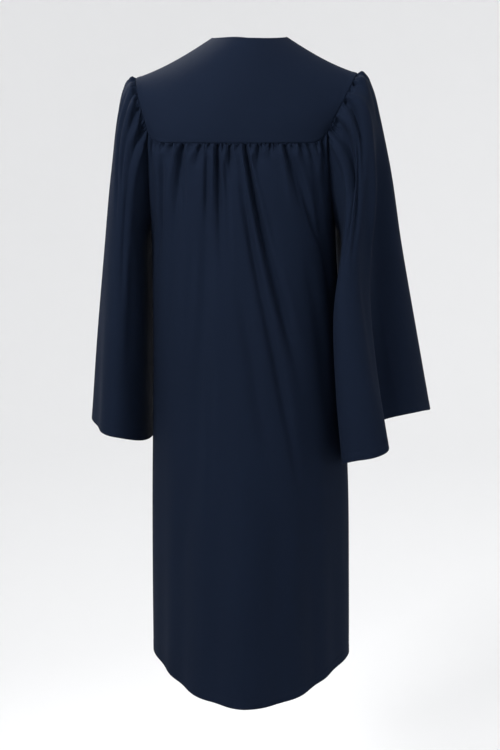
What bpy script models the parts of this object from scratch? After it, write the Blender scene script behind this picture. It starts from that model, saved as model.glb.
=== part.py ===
"""A graduation gown as it is worn, hollow, with no wearer in it.

A plain yoke lies over the shoulders. The back panel and the two front panels are gathered into it,
and so are the heads of the two wide bell sleeves. The neck is an open V, and a zip runs down the front.

Metres, +Z up. The front faces -Y, and the wearer's left is +X. The origin is at the neck, where the
yoke lies on the wearer, so every height on the gown is given as a drop below it.
"""

import math
from collections import namedtuple

import bmesh
import bpy
from mathutils import Matrix, Vector

# Driving dimensions, in metres
BACK_LENGTH = 1.300  # from the neck to the hem, at the centre back
SIDE_LENGTH = 1.268  # the hem lifts a little at the side seams
CLOTH = 0.0012  # wall of every panel
SEAM_GAP = 0.0003  # between two pieces at a seam
NECK_HALF_WIDTH = 0.073
NECK_BACK = 0.073  # centre of the neck to the back neck edge
SHOULDER_REACH = 0.217  # centre to the end of the shoulder seam
SHOULDER_DROP = {1: 0.072, -1: 0.064}  # the wearer's left shoulder hangs a little lower
SHOULDER_SHIFT = 0.007
CORNER_DROP = 0.1745  # where yoke, panel and sleeve meet
YOKE_DROP = 0.196  # the level yoke seam at the back
FRONT_YOKE_DROP = 0.186
UNDERARM_DROP = 0.360
ARMHOLE_BACK = 0.0825  # how far the armhole reaches behind the shoulder seam
ARMHOLE_FRONT = 0.078
CORNER_RISE = 50.0  # degrees by which the yoke seam has turned up at its corner
LEVEL_SHARE = 0.74  # share of the half seam that is level
NECK_SHARE = 5 / 13  # share of the half yoke that ends at the neck edge
RIDGE_RISE = 0.0366  # the shoulder line carried on to the centre, above the origin
RIDGE_SLOPE = 1.043
RIDGE_ROUND = 0.050
RIDGE_FLARE = 1.65
ZIP_HALF_GAP = 0.0052  # each front edge stays this far from the centre
TAPE_THICK = 0.0009
CHAIN_HALF_WIDTH = 0.0025
CHAIN_THICK = 0.0011
ZIP_END = 0.985  # the zip stops this share of the way down

# The body's level sections: half width, reach behind and before the centre, how square the section
# is (2 is an ellipse, less is pinched at the side seams), and how far its centre lies to the left.
Section = namedtuple("Section", "drop half_width back front square shift")
BODY = (
    Section(0.140, 0.2030, 0.118, 0.106, 2.65, 0.0185),
    Section(0.175, 0.2020, 0.127, 0.117, 2.60, 0.0190),
    Section(0.200, 0.2010, 0.131, 0.123, 2.55, 0.0190),
    Section(0.250, 0.1970, 0.136, 0.135, 2.45, 0.0175),
    Section(0.310, 0.1900, 0.140, 0.144, 2.35, 0.0155),
    Section(0.360, 0.1840, 0.143, 0.148, 2.25, 0.0135),
    Section(0.500, 0.1880, 0.153, 0.153, 2.05, 0.0080),
    Section(0.700, 0.1970, 0.169, 0.160, 1.85, 0.0030),
    Section(0.900, 0.2050, 0.187, 0.169, 1.70, 0.0000),
    Section(1.100, 0.2085, 0.208, 0.184, 1.62, -0.0010),
    Section(1.300, 0.2105, 0.226, 0.196, 1.60, -0.0020),
)

# The sleeves' rings: how far down the sleeve, then drop and x of the outermost and innermost points,
# y of the two ends, how far the back end leans inwards, y of the outermost point, and how far the inner
# side bulges in behind the body's edge and before it.
Ring = namedtuple("Ring", "down out_drop in_drop out_x in_x back_y front_y lean out_y hug tuck")
LEFT_RINGS = (
    Ring(0.00, 0.072, 0.360, 0.224, 0.198, 0.083, -0.078, 0.000, 0.000, 0.000, 0.000),
    Ring(0.06, 0.088, 0.378, 0.240, 0.204, 0.100, -0.096, 0.000, 0.000, 0.000, 0.005),
    Ring(0.13, 0.132, 0.410, 0.256, 0.207, 0.106, -0.108, 0.000, -0.005, 0.000, 0.015),
    Ring(0.28, 0.245, 0.475, 0.277, 0.207, 0.108, -0.133, 0.002, -0.015, 0.000, 0.030),
    Ring(0.50, 0.400, 0.572, 0.297, 0.2075, 0.106, -0.162, 0.004, -0.030, 0.000, 0.038),
    Ring(0.75, 0.592, 0.680, 0.321, 0.2090, 0.104, -0.196, 0.006, -0.050, 0.000, 0.044),
    Ring(1.00, 0.768, 0.788, 0.339, 0.2100, 0.106, -0.226, 0.008, -0.065, 0.000, 0.046),
)
RIGHT_RINGS = (
    Ring(0.00, 0.064, 0.360, 0.210, 0.170, 0.083, -0.078, 0.000, 0.000, 0.000, 0.000),
    Ring(0.06, 0.080, 0.378, 0.228, 0.179, 0.101, -0.095, 0.002, 0.000, 0.000, 0.016),
    Ring(0.13, 0.126, 0.410, 0.247, 0.184, 0.114, -0.104, 0.012, -0.005, 0.000, 0.034),
    Ring(0.28, 0.240, 0.470, 0.278, 0.188, 0.130, -0.124, 0.034, -0.015, 0.003, 0.047),
    Ring(0.50, 0.398, 0.570, 0.305, 0.196, 0.141, -0.152, 0.056, -0.032, 0.010, 0.052),
    Ring(0.75, 0.588, 0.694, 0.342, 0.203, 0.152, -0.186, 0.056, -0.058, 0.015, 0.052),
    Ring(1.00, 0.754, 0.838, 0.375, 0.210, 0.160, -0.218, 0.050, -0.080, 0.016, 0.045),
)

# The right cuff from above, as x outwards and y for each turn, and how far its hem is lifted there. Its
# back half is folded into a near lobe, at 60 to 120 degrees, and a far one, with a deep valley between.
Cuff = namedtuple("Cuff", "turn x y lift")
RIGHT_CUFF = (
    Cuff(0, 0.377, -0.100, -0.003),
    Cuff(20, 0.354, -0.050, 0.006),
    Cuff(36, 0.316, -0.012, 0.010),
    Cuff(48, 0.278, 0.014, 0.005),
    Cuff(56, 0.267, 0.052, 0.000),
    Cuff(64, 0.272, 0.104, -0.002),
    Cuff(73, 0.273, 0.146, -0.006),
    Cuff(84, 0.253, 0.166, -0.004),
    Cuff(100, 0.216, 0.164, 0.000),
    Cuff(120, 0.192, 0.134, 0.000),
    Cuff(148, 0.196, 0.066, 0.000),
    Cuff(180, 0.207, -0.020, 0.000),
    Cuff(215, 0.196, -0.122, 0.000),
    Cuff(250, 0.236, -0.193, 0.000),
    Cuff(280, 0.288, -0.222, 0.000),
    Cuff(310, 0.335, -0.205, 0.000),
    Cuff(340, 0.370, -0.153, -0.003),
)
CUFF_SAG = 0.024  # how much lower the left cuff hangs beside the body, from that share of the sleeve down
CUFF_SAG_START = 0.50
CUFF_FOLD_START = 0.20  # share of the sleeve above which the right cuff's fold has run out

# Gathers. `at` is the place along the seam: millimetres to the left of the seam's centre on a panel,
# degrees round the armhole from the shoulder on a sleeve, positive at the back. The other columns
# are millimetres: depth, half width, length down the cloth, and how far the fold strays to the left.
Fold = namedtuple("Fold", "at deep wide long stray")
BACK_GATHERS = (
    Fold(186, 6.0, 4.5, 110, 4),
    Fold(169, 2.8, 3.4, 22, 0),
    Fold(154, 2.8, 3.4, 20, 0),
    Fold(138, 4.6, 4.0, 45, 2),
    Fold(117, 8.0, 5.0, 210, 16),
    Fold(98, 2.6, 3.4, 18, 0),
    Fold(80, 5.2, 4.2, 60, 9),
    Fold(61, 3.0, 3.4, 24, 0),
    Fold(43, 7.6, 5.0, 320, -12),
    Fold(29, 3.0, 3.4, 22, 0),
    Fold(14, 6.6, 4.4, 85, -4),
    Fold(-8, 2.8, 3.4, 20, 0),
    Fold(-23, 8.4, 5.2, 560, -84),
    Fold(-38, 3.0, 3.4, 20, 0),
    Fold(-54, 6.4, 4.6, 60, 2),
    Fold(-67, 2.6, 3.4, 18, 0),
    Fold(-79, 4.4, 3.8, 34, 0),
    Fold(-93, 2.6, 3.4, 20, 0),
    Fold(-107, 7.4, 4.8, 170, -34),
    Fold(-121, 3.0, 3.4, 26, -4),
    Fold(-136, 5.0, 4.2, 60, -12),
    Fold(-152, 4.2, 3.8, 75, -14),
    Fold(-168, 3.0, 3.4, 30, -4),
    Fold(-186, 7.0, 4.8, 120, -2),
)
FRONT_GATHERS = {
    1: (
        Fold(26, 4.6, 4.2, 90, -2),
        Fold(42, 2.8, 3.4, 24, 0),
        Fold(57, 7.0, 4.8, 300, 6),
        Fold(72, 3.0, 3.4, 28, 0),
        Fold(87, 5.4, 4.2, 120, 8),
        Fold(102, 3.0, 3.4, 26, 2),
        Fold(117, 7.2, 4.8, 380, 20),
        Fold(132, 3.0, 3.4, 26, 0),
        Fold(147, 4.8, 4.2, 90, 10),
        Fold(163, 5.8, 4.4, 150, 6),
    ),
    -1: (
        Fold(-25, 5.0, 4.2, 120, 2),
        Fold(-41, 3.0, 3.4, 26, 0),
        Fold(-55, 6.4, 4.8, 240, -8),
        Fold(-70, 2.8, 3.4, 22, 0),
        Fold(-86, 6.0, 4.4, 150, -10),
        Fold(-101, 3.0, 3.4, 30, 0),
        Fold(-116, 7.4, 4.8, 420, -22),
        Fold(-131, 3.2, 3.4, 24, 0),
        Fold(-146, 4.6, 4.2, 80, -8),
        Fold(-162, 6.0, 4.4, 140, -6),
    ),
}
LEFT_HEAD_GATHERS = (
    Fold(84, 6.7, 4.2, 90, 6),
    Fold(73, 4.1, 3.6, 28, 2),
    Fold(62, 6.4, 4.0, 60, 8),
    Fold(51, 4.3, 3.6, 32, 3),
    Fold(40, 6.7, 4.2, 70, 8),
    Fold(15, 5.2, 4.0, 60, 2),
    Fold(2, 4.6, 3.8, 44, 0),
    Fold(-12, 6.1, 4.0, 90, 0),
    Fold(-25, 4.3, 3.6, 34, 0),
    Fold(-38, 7.2, 4.4, 130, -4),
    Fold(-51, 4.6, 3.6, 40, -2),
    Fold(-63, 6.7, 4.2, 80, -4),
    Fold(-75, 4.6, 3.6, 40, -2),
    Fold(-86, 6.4, 4.2, 70, -4),
)
RIGHT_HEAD_GATHERS = (
    Fold(85, 8.3, 4.6, 130, 4),
    Fold(76, 8.6, 4.6, 150, 10),
    Fold(66, 4.2, 3.6, 40, 4),
    Fold(56, 7.8, 4.4, 140, 8),
    Fold(45, 4.4, 3.6, 44, 2),
    Fold(33, 5.7, 4.0, 60, 2),
    Fold(19, 3.9, 3.6, 36, 0),
    Fold(5, 6.0, 4.2, 70, 0),
    Fold(-10, 3.9, 3.6, 36, 0),
    Fold(-24, 6.2, 4.2, 110, -2),
    Fold(-38, 4.2, 3.6, 40, 0),
    Fold(-51, 6.2, 4.2, 100, -4),
    Fold(-64, 4.2, 3.6, 36, 0),
    Fold(-76, 6.5, 4.2, 90, -4),
    Fold(-87, 4.7, 3.8, 50, 0),
)

# Broad soft folds that hang lower down. On a panel `at` is as above, on a sleeve it is degrees round
# it. `start` and `full` are the drops, or the shares of the sleeve, where one begins and is deepest.
Drape = namedtuple("Drape", "at deep wide start full stray")
BODY_DRAPES = (
    Drape(150, 6, 22, 0.50, 1.25, 0),
    Drape(92, 7, 20, 0.42, 1.30, 8),
    Drape(30, 6, 17, 0.36, 1.20, 6),
    Drape(-38, 5, 18, 0.60, 1.30, -8),
    Drape(-96, 7, 20, 0.45, 1.30, -10),
    Drape(-150, 6, 22, 0.55, 1.25, 0),
)
FRONT_DRAPES = {
    1: (Drape(40, 9, 16, 0.40, 1.30, 4), Drape(96, 12, 20, 0.42, 1.30, 8), Drape(152, 8, 20, 0.5, 1.28, 0)),
    -1: (Drape(-42, 8, 16, 0.44, 1.30, -4), Drape(-98, 12, 20, 0.40, 1.30, -8), Drape(-150, 9, 20, 0.5, 1.28, 0)),
}
SLEEVE_DRAPES = {
    1: (Drape(38, 9, 17, 0.40, 1.00, 4), Drape(-42, 14, 16, 0.25, 1.00, -6), Drape(-122, 10, 15, 0.40, 1.00, 0)),
    -1: (Drape(-48, 14, 17, 0.25, 1.00, -6), Drape(-124, 10, 15, 0.40, 1.00, 0)),
}
MM = 0.001
BACK_HALF_SEAM = 204.0
FRONT_HALF_SEAM = 186.0
SLEEVE_OUTER = 0.72  # length along the top of the arm
SLEEVE_INNER = 0.44

# Grid sizes. Below FINE_ROWS every second column goes on down the cloth.
BACK_COLUMNS = 104
FRONT_COLUMNS = 40
YOKE_COLUMNS = 52
FRONT_YOKE_COLUMNS = 20
YOKE_ROWS = 10
FINE_ROWS = 5
YOKE_FINE_ROWS = 2

# Turns of the armhole at which panel rows and yoke rows end. The pieces share the straight runs
# between them, and so stay the same distance apart.
PANEL_TURNS = (90.0, 91.5, 94.0, 98.0, 105.0, 117.0, 135.0, 157.5, 180.0)
LOWER_ROWS = (0.23, 0.33, 0.45, 0.58, 0.72, 0.86, 1.0)
UNDER_TURNS = (94.0, 98.0, 105.0, 111.0, 117.0, 126.0, 135.0, 146.0, 157.5, 169.0, 180.0)
SLEEVE_ROWS = (0.0, 0.012, 0.030, 0.056, 0.092, 0.150, 0.23, 0.33, 0.45, 0.58, 0.72, 0.86, 1.0)


def smooth(value):
    """0 below 0, 1 above 1, and a smooth step between."""
    value = max(0.0, min(1.0, value))
    return value * value * (3 - 2 * value)


def mixed(table, key):
    """The table's row at `key`, its first column, with each other column on a smooth curve through the rows."""
    keys = [row[0] for row in table]
    key = max(keys[0], min(keys[-1], key))
    i = max(0, min(len(table) - 2, sum(k <= key for k in keys) - 1))
    span = keys[i + 1] - keys[i]
    t = (key - keys[i]) / span
    values = []
    for column in range(1, len(table[0])):

        def slope(j):
            low, high = max(0, j - 1), min(len(table) - 1, j + 1)
            return (table[high][column] - table[low][column]) / (keys[high] - keys[low])

        a, b = table[i][column], table[i + 1][column]
        ease = t * t * (3 - 2 * t)
        start = t * (1 - t) * (1 - t) * span * slope(i)
        end = t * t * (1 - t) * span * slope(i + 1)
        values.append(a + (b - a) * ease + start - end)
    return type(table[0])(key, *values)


def body_point(angle, drop):
    """A point of the body's section at that drop. Angle 0 is the centre back and pi / 2 the left side."""
    row = mixed(BODY, drop)
    depth = row.back if math.cos(angle) >= 0 else row.front
    across = abs(math.sin(angle)) / row.half_width
    along = abs(math.cos(angle)) / depth
    radius = (across**row.square + along**row.square) ** (-1 / row.square)
    # The centre front stays over the centre, though the yoke hangs a little to the left.
    shift = row.shift if math.cos(angle) >= 0 else row.shift * math.sin(angle) ** 2
    return Vector((shift + radius * math.sin(angle), radius * math.cos(angle), -drop))


def body_normal(angle, drop):
    step = 0.02
    along = body_point(angle + step, drop) - body_point(angle - step, drop)
    return Vector((-along.y, along.x, 0)).normalized()


def armhole_place(turn):
    """(drop below the corner, y) of the armhole, for one that is as deep above the corner as below."""
    c, s = math.cos(math.radians(turn)), math.sin(math.radians(turn))
    return -c, s * (ARMHOLE_BACK if s >= 0 else ARMHOLE_FRONT)


def armhole_angle(drop, y):
    """The body angle, from the centre back or front, of the point of a section that lies at that y."""
    row = mixed(BODY, drop)
    depth = row.back if y >= 0 else row.front
    reach = row.half_width * (1 - abs(y / depth) ** row.square) ** (1 / row.square)
    return math.atan2(reach, abs(y))


def armhole_point(side, turn):
    """The armhole on one side. Turn 0 is the end of the shoulder seam, 90 the back corner of the yoke,
    180 the underarm, and -90 the front corner."""
    below, y = armhole_place(turn)
    if below >= 0:
        drop = CORNER_DROP + (UNDERARM_DROP - CORNER_DROP) * below
        angle = armhole_angle(drop, y)
        return body_point(side * (angle if y >= 0 else math.pi - angle), drop)
    drop = CORNER_DROP + (CORNER_DROP - SHOULDER_DROP[side]) * below
    corner = ARMHOLE_BACK if y >= 0 else -ARMHOLE_FRONT
    angle = armhole_angle(CORNER_DROP, corner)
    x = body_point(side * (angle if y >= 0 else math.pi - angle), CORNER_DROP).x
    tip_x = SHOULDER_SHIFT + side * SHOULDER_REACH
    return Vector((x + (tip_x - x) * -below, y, -drop))


def armhole_frame(side, turn):
    """(normal, across) at the armhole seam: the way out of the cloth, and the way out over the sleeve."""
    along = armhole_point(side, turn + 1) - armhole_point(side, turn - 1)
    c, s = math.cos(math.radians(turn)), math.sin(math.radians(turn))
    normal = Vector((side * 0.5 * (1 + c) / 2, s, c))
    normal -= along * (normal.dot(along) / along.length_squared)
    normal.normalize()
    across = along.cross(normal).normalized()
    return normal, across if across.x * side > 0 else -across


def edge_turn(drop):
    """The turn of the armhole at a drop between the yoke's corner and the underarm."""
    share = (drop - CORNER_DROP) / (UNDERARM_DROP - CORNER_DROP)
    return 90 + math.degrees(math.asin(max(0.0, min(1.0, share))))


def edge_angle(drop, front=False):
    """The body angle, from the centre back or the centre front, at which a panel ends at that drop."""
    if drop >= UNDERARM_DROP:
        return math.pi / 2
    y = armhole_place(edge_turn(drop) * (-1 if front else 1))[1]
    return armhole_angle(drop, y)


def hermite(start, end, leave, arrive, t):
    h = t * t * (3 - 2 * t)
    return start.lerp(end, h) + leave * (t * (1 - t) ** 2) - arrive * (t * t * (1 - t))


def zip_angle(drop):
    """The body angle of the front edges, from the centre front."""
    return math.asin(ZIP_HALF_GAP / mixed(BODY, drop).front)


def seam_place(share, front=False):
    """(angle, drop) of the yoke seam, from share 0 at the centre, or at the zip, to 1 or -1 at a corner."""
    level = FRONT_YOKE_DROP if front else YOKE_DROP
    start = zip_angle(level) if front else 0.0
    corner = edge_angle(CORNER_DROP, front)
    rise = math.radians(CORNER_RISE)
    bend = max(0.0, (abs(share) - LEVEL_SHARE) / (1 - LEVEL_SHARE)) * rise
    flat = min(abs(share), LEVEL_SHARE) / LEVEL_SHARE
    level_angle = start + (corner - start) * 0.80
    angle = start + (level_angle - start) * flat + (corner - level_angle) * math.sin(bend) / math.sin(rise)
    drop = level - (level - CORNER_DROP) * (1 - math.cos(bend)) / (1 - math.cos(rise))
    return angle, drop


def round_angle(side, angle, front):
    return side * (math.pi - angle if front else angle)


def seam_point(share, front=False, side=0):
    side = side or (1 if share >= 0 else -1)
    angle, drop = seam_place(share, front)
    return body_point(round_angle(side, angle, front), drop)


def seam_frame(share, front=False, side=0):
    """(normal, across) at the yoke seam: the way out of the cloth, and the way up into the yoke."""
    side = side or (1 if share >= 0 else -1)
    step = 0.01
    if front:
        high, low = min(1.0, abs(share) + step), max(0.0, abs(share) - step)
        along = seam_point(high, front, side) - seam_point(low, front, side)
    else:
        high, low = min(1.0, share + step), max(-1.0, share - step)
        along = seam_point(high) - seam_point(low)
    angle, drop = seam_place(share, front)
    normal = body_normal(round_angle(side, angle, front), drop)
    corner_normal = armhole_frame(side, -90 if front else 90)[0]
    normal = normal.lerp(corner_normal, smooth((abs(share) - 0.8) / 0.2))
    normal -= along * (normal.dot(along) / along.length_squared)
    normal.normalize()
    across = along.cross(normal).normalized()
    return normal, across if across.z > 0 else -across


def fold_depth(folds, at, below):
    """How deep the gathers lie at `at` millimetres or degrees along the seam, `below` metres down from it."""
    depth = 0.0
    for fold in folds:
        run = below / (fold.long * MM)
        if run >= 1:
            continue
        middle = fold.at + fold.stray * run
        wide = fold.wide * (1 + 1.6 * run)
        grown = smooth(below / 0.014)
        depth += fold.deep * MM * grown * (1 - smooth(run)) * math.exp(-(((at - middle) / wide) ** 2))
    return depth


def drape_depth(drapes, at, where):
    depth = 0.0
    for drape in drapes:
        run = (where - drape.start) / (drape.full - drape.start)
        if run <= 0:
            continue
        middle = drape.at + drape.stray * run
        depth += drape.deep * MM * smooth(run) * math.exp(-(((at - middle) / drape.wide) ** 2))
    return depth


def hem_drop(angle, front):
    """The hem is lowest at the centre back and lifts towards the side seams."""
    lift = abs(math.sin(angle)) ** 2.9
    middle = BACK_LENGTH - 0.012 if front else BACK_LENGTH
    return middle + (SIDE_LENGTH - middle) * lift


def panel_point(share, down, front=False, side=0):
    """A point of the back panel or of a front panel. Share runs as in seam_place; down is 0 at the yoke
    seam and 1 at the hem."""
    side = side or (1 if share >= 0 else -1)
    even = abs(share)
    top_angle, top = seam_place(share, front)
    drop = top + (hem_drop(even * math.pi / 2, front) - top) * down
    start = zip_angle(drop) if front else 0.0
    top_start = zip_angle(FRONT_YOKE_DROP) if front else 0.0
    corner = edge_angle(CORNER_DROP, front)
    level = (top_angle - top_start) / (corner - top_start)
    # At the panel's edge the rows follow the armhole, and further in they open evenly.
    below = drop - top
    easy = corner + (math.pi / 2 - corner) * smooth(below / 0.45)
    edge = edge_angle(CORNER_DROP + below, front)
    angle = start + (easy - start) * (level + (even - level) * smooth(below / 0.30))
    angle += (edge - easy) * even**8
    angle = round_angle(side, angle, front)
    point = body_point(angle, drop)
    if front and share == 0:
        point.x = side * ZIP_HALF_GAP
    at = side * even * (FRONT_HALF_SEAM if front else BACK_HALF_SEAM)
    gathers = FRONT_GATHERS[side] if front else BACK_GATHERS
    drapes = FRONT_DRAPES[side] if front else BODY_DRAPES
    puff = 0.0055 * smooth(below / 0.022) * (1 - smooth(below / 0.55))
    depth = fold_depth(gathers, at, below) + drape_depth(drapes, at, drop)
    calm = 1 - smooth((even - 0.90) / 0.10)
    if front:
        calm *= smooth((even - 0.06) / 0.12)
    return point + body_normal(angle, drop) * ((puff - depth) * calm)


def ridge_point(share):
    """The shoulder line over the body, from 0 at the centre, where no cloth is, to 1 or -1 at a sleeve."""
    side = 1 if share >= 0 else -1
    even = abs(share)
    bow = (NECK_HALF_WIDTH - SHOULDER_REACH * NECK_SHARE) / (NECK_SHARE**2 - NECK_SHARE)
    reach = (SHOULDER_REACH - bow) * even + bow * even**2
    rise = RIDGE_RISE - RIDGE_SLOPE * (math.hypot(reach, RIDGE_ROUND) - RIDGE_ROUND) + RIDGE_FLARE * reach**2
    end = SHOULDER_REACH
    end_rise = RIDGE_RISE - RIDGE_SLOPE * (math.hypot(end, RIDGE_ROUND) - RIDGE_ROUND) + RIDGE_FLARE * end**2
    rise -= (SHOULDER_DROP[side] + end_rise) * even**2
    return Vector((side * reach + SHOULDER_SHIFT * even**2, 0, rise))


def shoulder_point(side, share):
    """The shoulder seam, from 0 at the neck to 1 at the sleeve."""
    return ridge_point(side * (NECK_SHARE + (1 - NECK_SHARE) * share))


def yoke_surface(share, up):
    """The back yoke, carried on under the neck as far as the shoulder line."""
    side = 1 if share >= 0 else -1
    start = seam_point(share)
    end = ridge_point(share)
    reach = (end - start).length
    point = hermite(start, end, Vector((0, 0.10, 1.0)) * reach, Vector((0, -1.15, 0.16)) * reach, up)
    edge_start, edge_end = seam_point(side), armhole_point(side, 0)
    edge_reach = (edge_end - edge_start).length
    edge_leave, edge_arrive = Vector((0, 0.10, 1.0)) * edge_reach, Vector((0, -1.15, 0.16)) * edge_reach
    plain = hermite(edge_start, edge_end, edge_leave, edge_arrive, up)
    return point + (armhole_point(side, 90 * (1 - up)) - plain) * abs(share) ** 5


def neck_place(share):
    """How far up a column of the yoke the neck cuts it, which is 1 where it ends at the shoulder seam."""
    if abs(share) > NECK_SHARE - 1e-6:
        return 1.0
    low, high = 0.3, 1.0
    for _ in range(30):
        middle = (low + high) / 2
        point = yoke_surface(share, middle)
        x = point.x - SHOULDER_SHIFT * share**2
        inside = (x / NECK_HALF_WIDTH) ** 2 + (point.y / NECK_BACK) ** 2 < 1
        low, high = (low, middle) if inside else (middle, high)
    return low


def yoke_point(share, up):
    """The back yoke. Share runs as in seam_point; up is 0 at the seam and 1 at the neck and shoulders."""
    return yoke_surface(share, up * neck_place(share))


def front_yoke_point(side, share, up):
    """A front yoke. Share is 0 at the neck edge and 1 at the sleeve; up is 0 at the seam, 1 at the shoulder."""
    start = front_seam_point(side, share)
    end = shoulder_point(side, share)
    reach = (end - start).length
    leave = Vector((side * 0.16 * (1 - share), -0.10, 1.0)) * reach
    arrive = Vector((side * 0.30 * (1 - share), 1.0, 0.42 * (1 - share) + 0.10)) * reach
    point = hermite(start, end, leave, arrive, up)
    edge_start, edge_end = front_seam_point(side, 1), armhole_point(side, 0)
    edge_reach = (edge_end - edge_start).length
    edge_leave, edge_arrive = Vector((0, -0.10, 1.0)), Vector((0, 1.0, 0.10))
    plain = hermite(edge_start, edge_end, edge_leave * edge_reach, edge_arrive * edge_reach, up)
    return point + (armhole_point(side, -90 * (1 - up)) - plain) * share**5





def front_seam_point(side, share):
    point = seam_point(share, front=True, side=side)
    if share == 0:
        point.x = side * ZIP_HALF_GAP
    return point


def cuff_place(turn):
    """The right cuff's row at that turn, on a smooth closed curve through its table."""
    first, last = RIGHT_CUFF[:2], RIGHT_CUFF[-2:]
    before = tuple(Cuff(row.turn - 360, *row[1:]) for row in last)
    after = tuple(Cuff(row.turn + 360, *row[1:]) for row in first)
    return mixed(before + RIGHT_CUFF + after, turn % 360)


def ring_place(row, turn):
    """(x outwards, y) of a sleeve's ring at that turn."""
    c, s = math.cos(math.radians(turn)), math.sin(math.radians(turn))
    x = (row.out_x + row.in_x) / 2 + (row.out_x - row.in_x) / 2 * c
    x -= row.lean * s * s * (1.0 if s > 0 else -0.35)
    x -= 2 * max(0.0, -c) * (row.hug * max(0.0, s) + row.tuck * max(0.0, -s) ** 2)
    y = (row.back_y + row.front_y) / 2 * s * s + (row.back_y - row.front_y) / 2 * s + row.out_y * c * c
    return x, y


def ring_point(side, turn, down):
    """A point on the smooth ring of a sleeve, before its gathers. Turn runs as round the armhole."""
    row = mixed(LEFT_RINGS if side > 0 else RIGHT_RINGS, down)
    x, y = ring_place(row, turn)
    c = math.cos(math.radians(turn))
    drop = (row.out_drop + row.in_drop) / 2 + (row.out_drop - row.in_drop) / 2 * c
    if side > 0 and down > CUFF_SAG_START and c < 0:
        drop += CUFF_SAG * smooth((down - CUFF_SAG_START) / (1 - CUFF_SAG_START)) * c * c
    if side < 0 and down > CUFF_FOLD_START:
        folded = smooth((down - CUFF_FOLD_START) / (1 - CUFF_FOLD_START))
        cuff = cuff_place(turn)
        plain_x, plain_y = ring_place(RIGHT_RINGS[-1], turn)
        x += (cuff.x - plain_x) * folded
        y += (cuff.y - plain_y) * folded
        drop -= cuff.lift * folded
    return Vector((side * x, y, -drop))


def smooth_sleeve_point(side, turn, down):
    """The ring, eased so that the first one lies on the armhole."""
    point = ring_point(side, turn, down)
    ease = max(0.0, 1 - down / 0.16) ** 2
    return point + (armhole_point(side, turn) - ring_point(side, turn, 0.0)) * ease


def sleeve_point(side, turn, down):
    point = smooth_sleeve_point(side, turn, down)
    along = smooth_sleeve_point(side, turn + 1, down) - smooth_sleeve_point(side, turn - 1, down)
    high, low = max(0.0, down - 0.004), min(1.0, down + 0.004)
    below = smooth_sleeve_point(side, turn, low) - smooth_sleeve_point(side, turn, high)
    normal = along.cross(below).normalized() * -side
    bend = math.cos(math.radians(turn))
    where = down * (SLEEVE_INNER + (SLEEVE_OUTER - SLEEVE_INNER) * (1 + bend) / 2)
    gathers = LEFT_HEAD_GATHERS if side > 0 else RIGHT_HEAD_GATHERS
    depth = fold_depth(gathers, (turn + 180) % 360 - 180, where)
    for lap in (-360, 0, 360):
        depth += drape_depth(SLEEVE_DRAPES[side], turn + lap, down)
    puff = 0.008 * smooth(where / 0.020) * (1 - smooth(where / 0.20)) * (1 + bend) / 2
    return point + normal * (puff - depth)


def cloth_material(name, colour, roughness=0.85, metallic=0.0):
    material = bpy.data.materials.new(name)
    material.use_nodes = True
    shader = material.node_tree.nodes["Principled BSDF"]
    shader.inputs["Base Color"].default_value = (*colour, 1.0)
    shader.inputs["Roughness"].default_value = roughness
    shader.inputs["Metallic"].default_value = metallic
    return material


def solid(name, bm, material):
    mesh = bpy.data.meshes.new(name)
    bm.to_mesh(mesh)
    bm.free()
    mesh.materials.append(material)
    mesh.shade_smooth()
    mesh.set_sharp_from_angle(angle=math.radians(50))
    obj = bpy.data.objects.new(name, mesh)
    gown.objects.link(obj)
    return obj


def strip(bm, upper, lower, closed):
    """Faces between two rows of points. A lower row may have every second column only."""
    step = 2 if len(upper) > len(lower) + 1 else 1
    count = len(lower) if closed else len(lower) - 1
    for j in range(count):
        k = (j + 1) % len(lower)
        a, b = upper[j * step], upper[(j + 1) * step % len(upper)]
        if step == 1:
            bm.faces.new((a, lower[j], lower[k], b))
        else:
            middle = upper[j * step + 1]
            bm.faces.new((a, lower[j], middle))
            bm.faces.new((middle, lower[j], lower[k]))
            bm.faces.new((middle, lower[k], b))


def wall(name, rows, edges, material, thick=CLOTH, closed=False, facing=None):
    """A cloth wall through rows of outer points. For a (row, column) at a seam, `edges` gives the seam's
    normal and the way that this piece steps back from it, so that both pieces at a seam end alike. A wall
    with no seam gives the way it faces."""
    bm = bmesh.new()
    points = [[bm.verts.new(p) for p in row] for row in rows]
    for upper, lower in zip(points, points[1:]):
        strip(bm, upper, lower, closed)
    bm.normal_update()
    toward = [points[i][j].normal.dot(normal) for (i, j), (normal, _) in edges.items()]
    if (points[0][0].normal.dot(facing) if facing else sum(toward)) < 0:
        bmesh.ops.reverse_faces(bm, faces=bm.faces[:])
        bm.normal_update()
    normals = {vert: vert.normal.copy() for vert in bm.verts}
    for (i, j), (normal, away) in edges.items():
        vert = points[i][j]
        vert.co += away * (SEAM_GAP / 2)
        normals[vert] = normal
    outer_faces = bm.faces[:]
    rim = [edge for edge in bm.edges if len(edge.link_faces) == 1]
    inner = {vert: bm.verts.new(vert.co - normals[vert] * thick) for vert in list(normals)}
    for face in outer_faces:
        bm.faces.new([inner[vert] for vert in reversed(face.verts)])
    for edge in rim:
        loop = next(loop for loop in edge.link_faces[0].loops if loop.edge == edge)
        a, b = loop.vert, loop.link_loop_next.vert
        bm.faces.new((b, a, inner[a], inner[b]))
    return solid(name, bm, material)


def straighten(rows, edges):
    """Put every second point of the first row midway between its neighbours, where the next piece has none."""
    for j in range(1, len(rows[0]) - 1, 2):
        rows[0][j] = (rows[0][j - 1] + rows[0][j + 1]) / 2
        near = [edges[0, j - 1], edges[0, j + 1]]
        edges[0, j] = tuple((near[0][k] + near[1][k]) / 2 for k in range(2))


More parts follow.
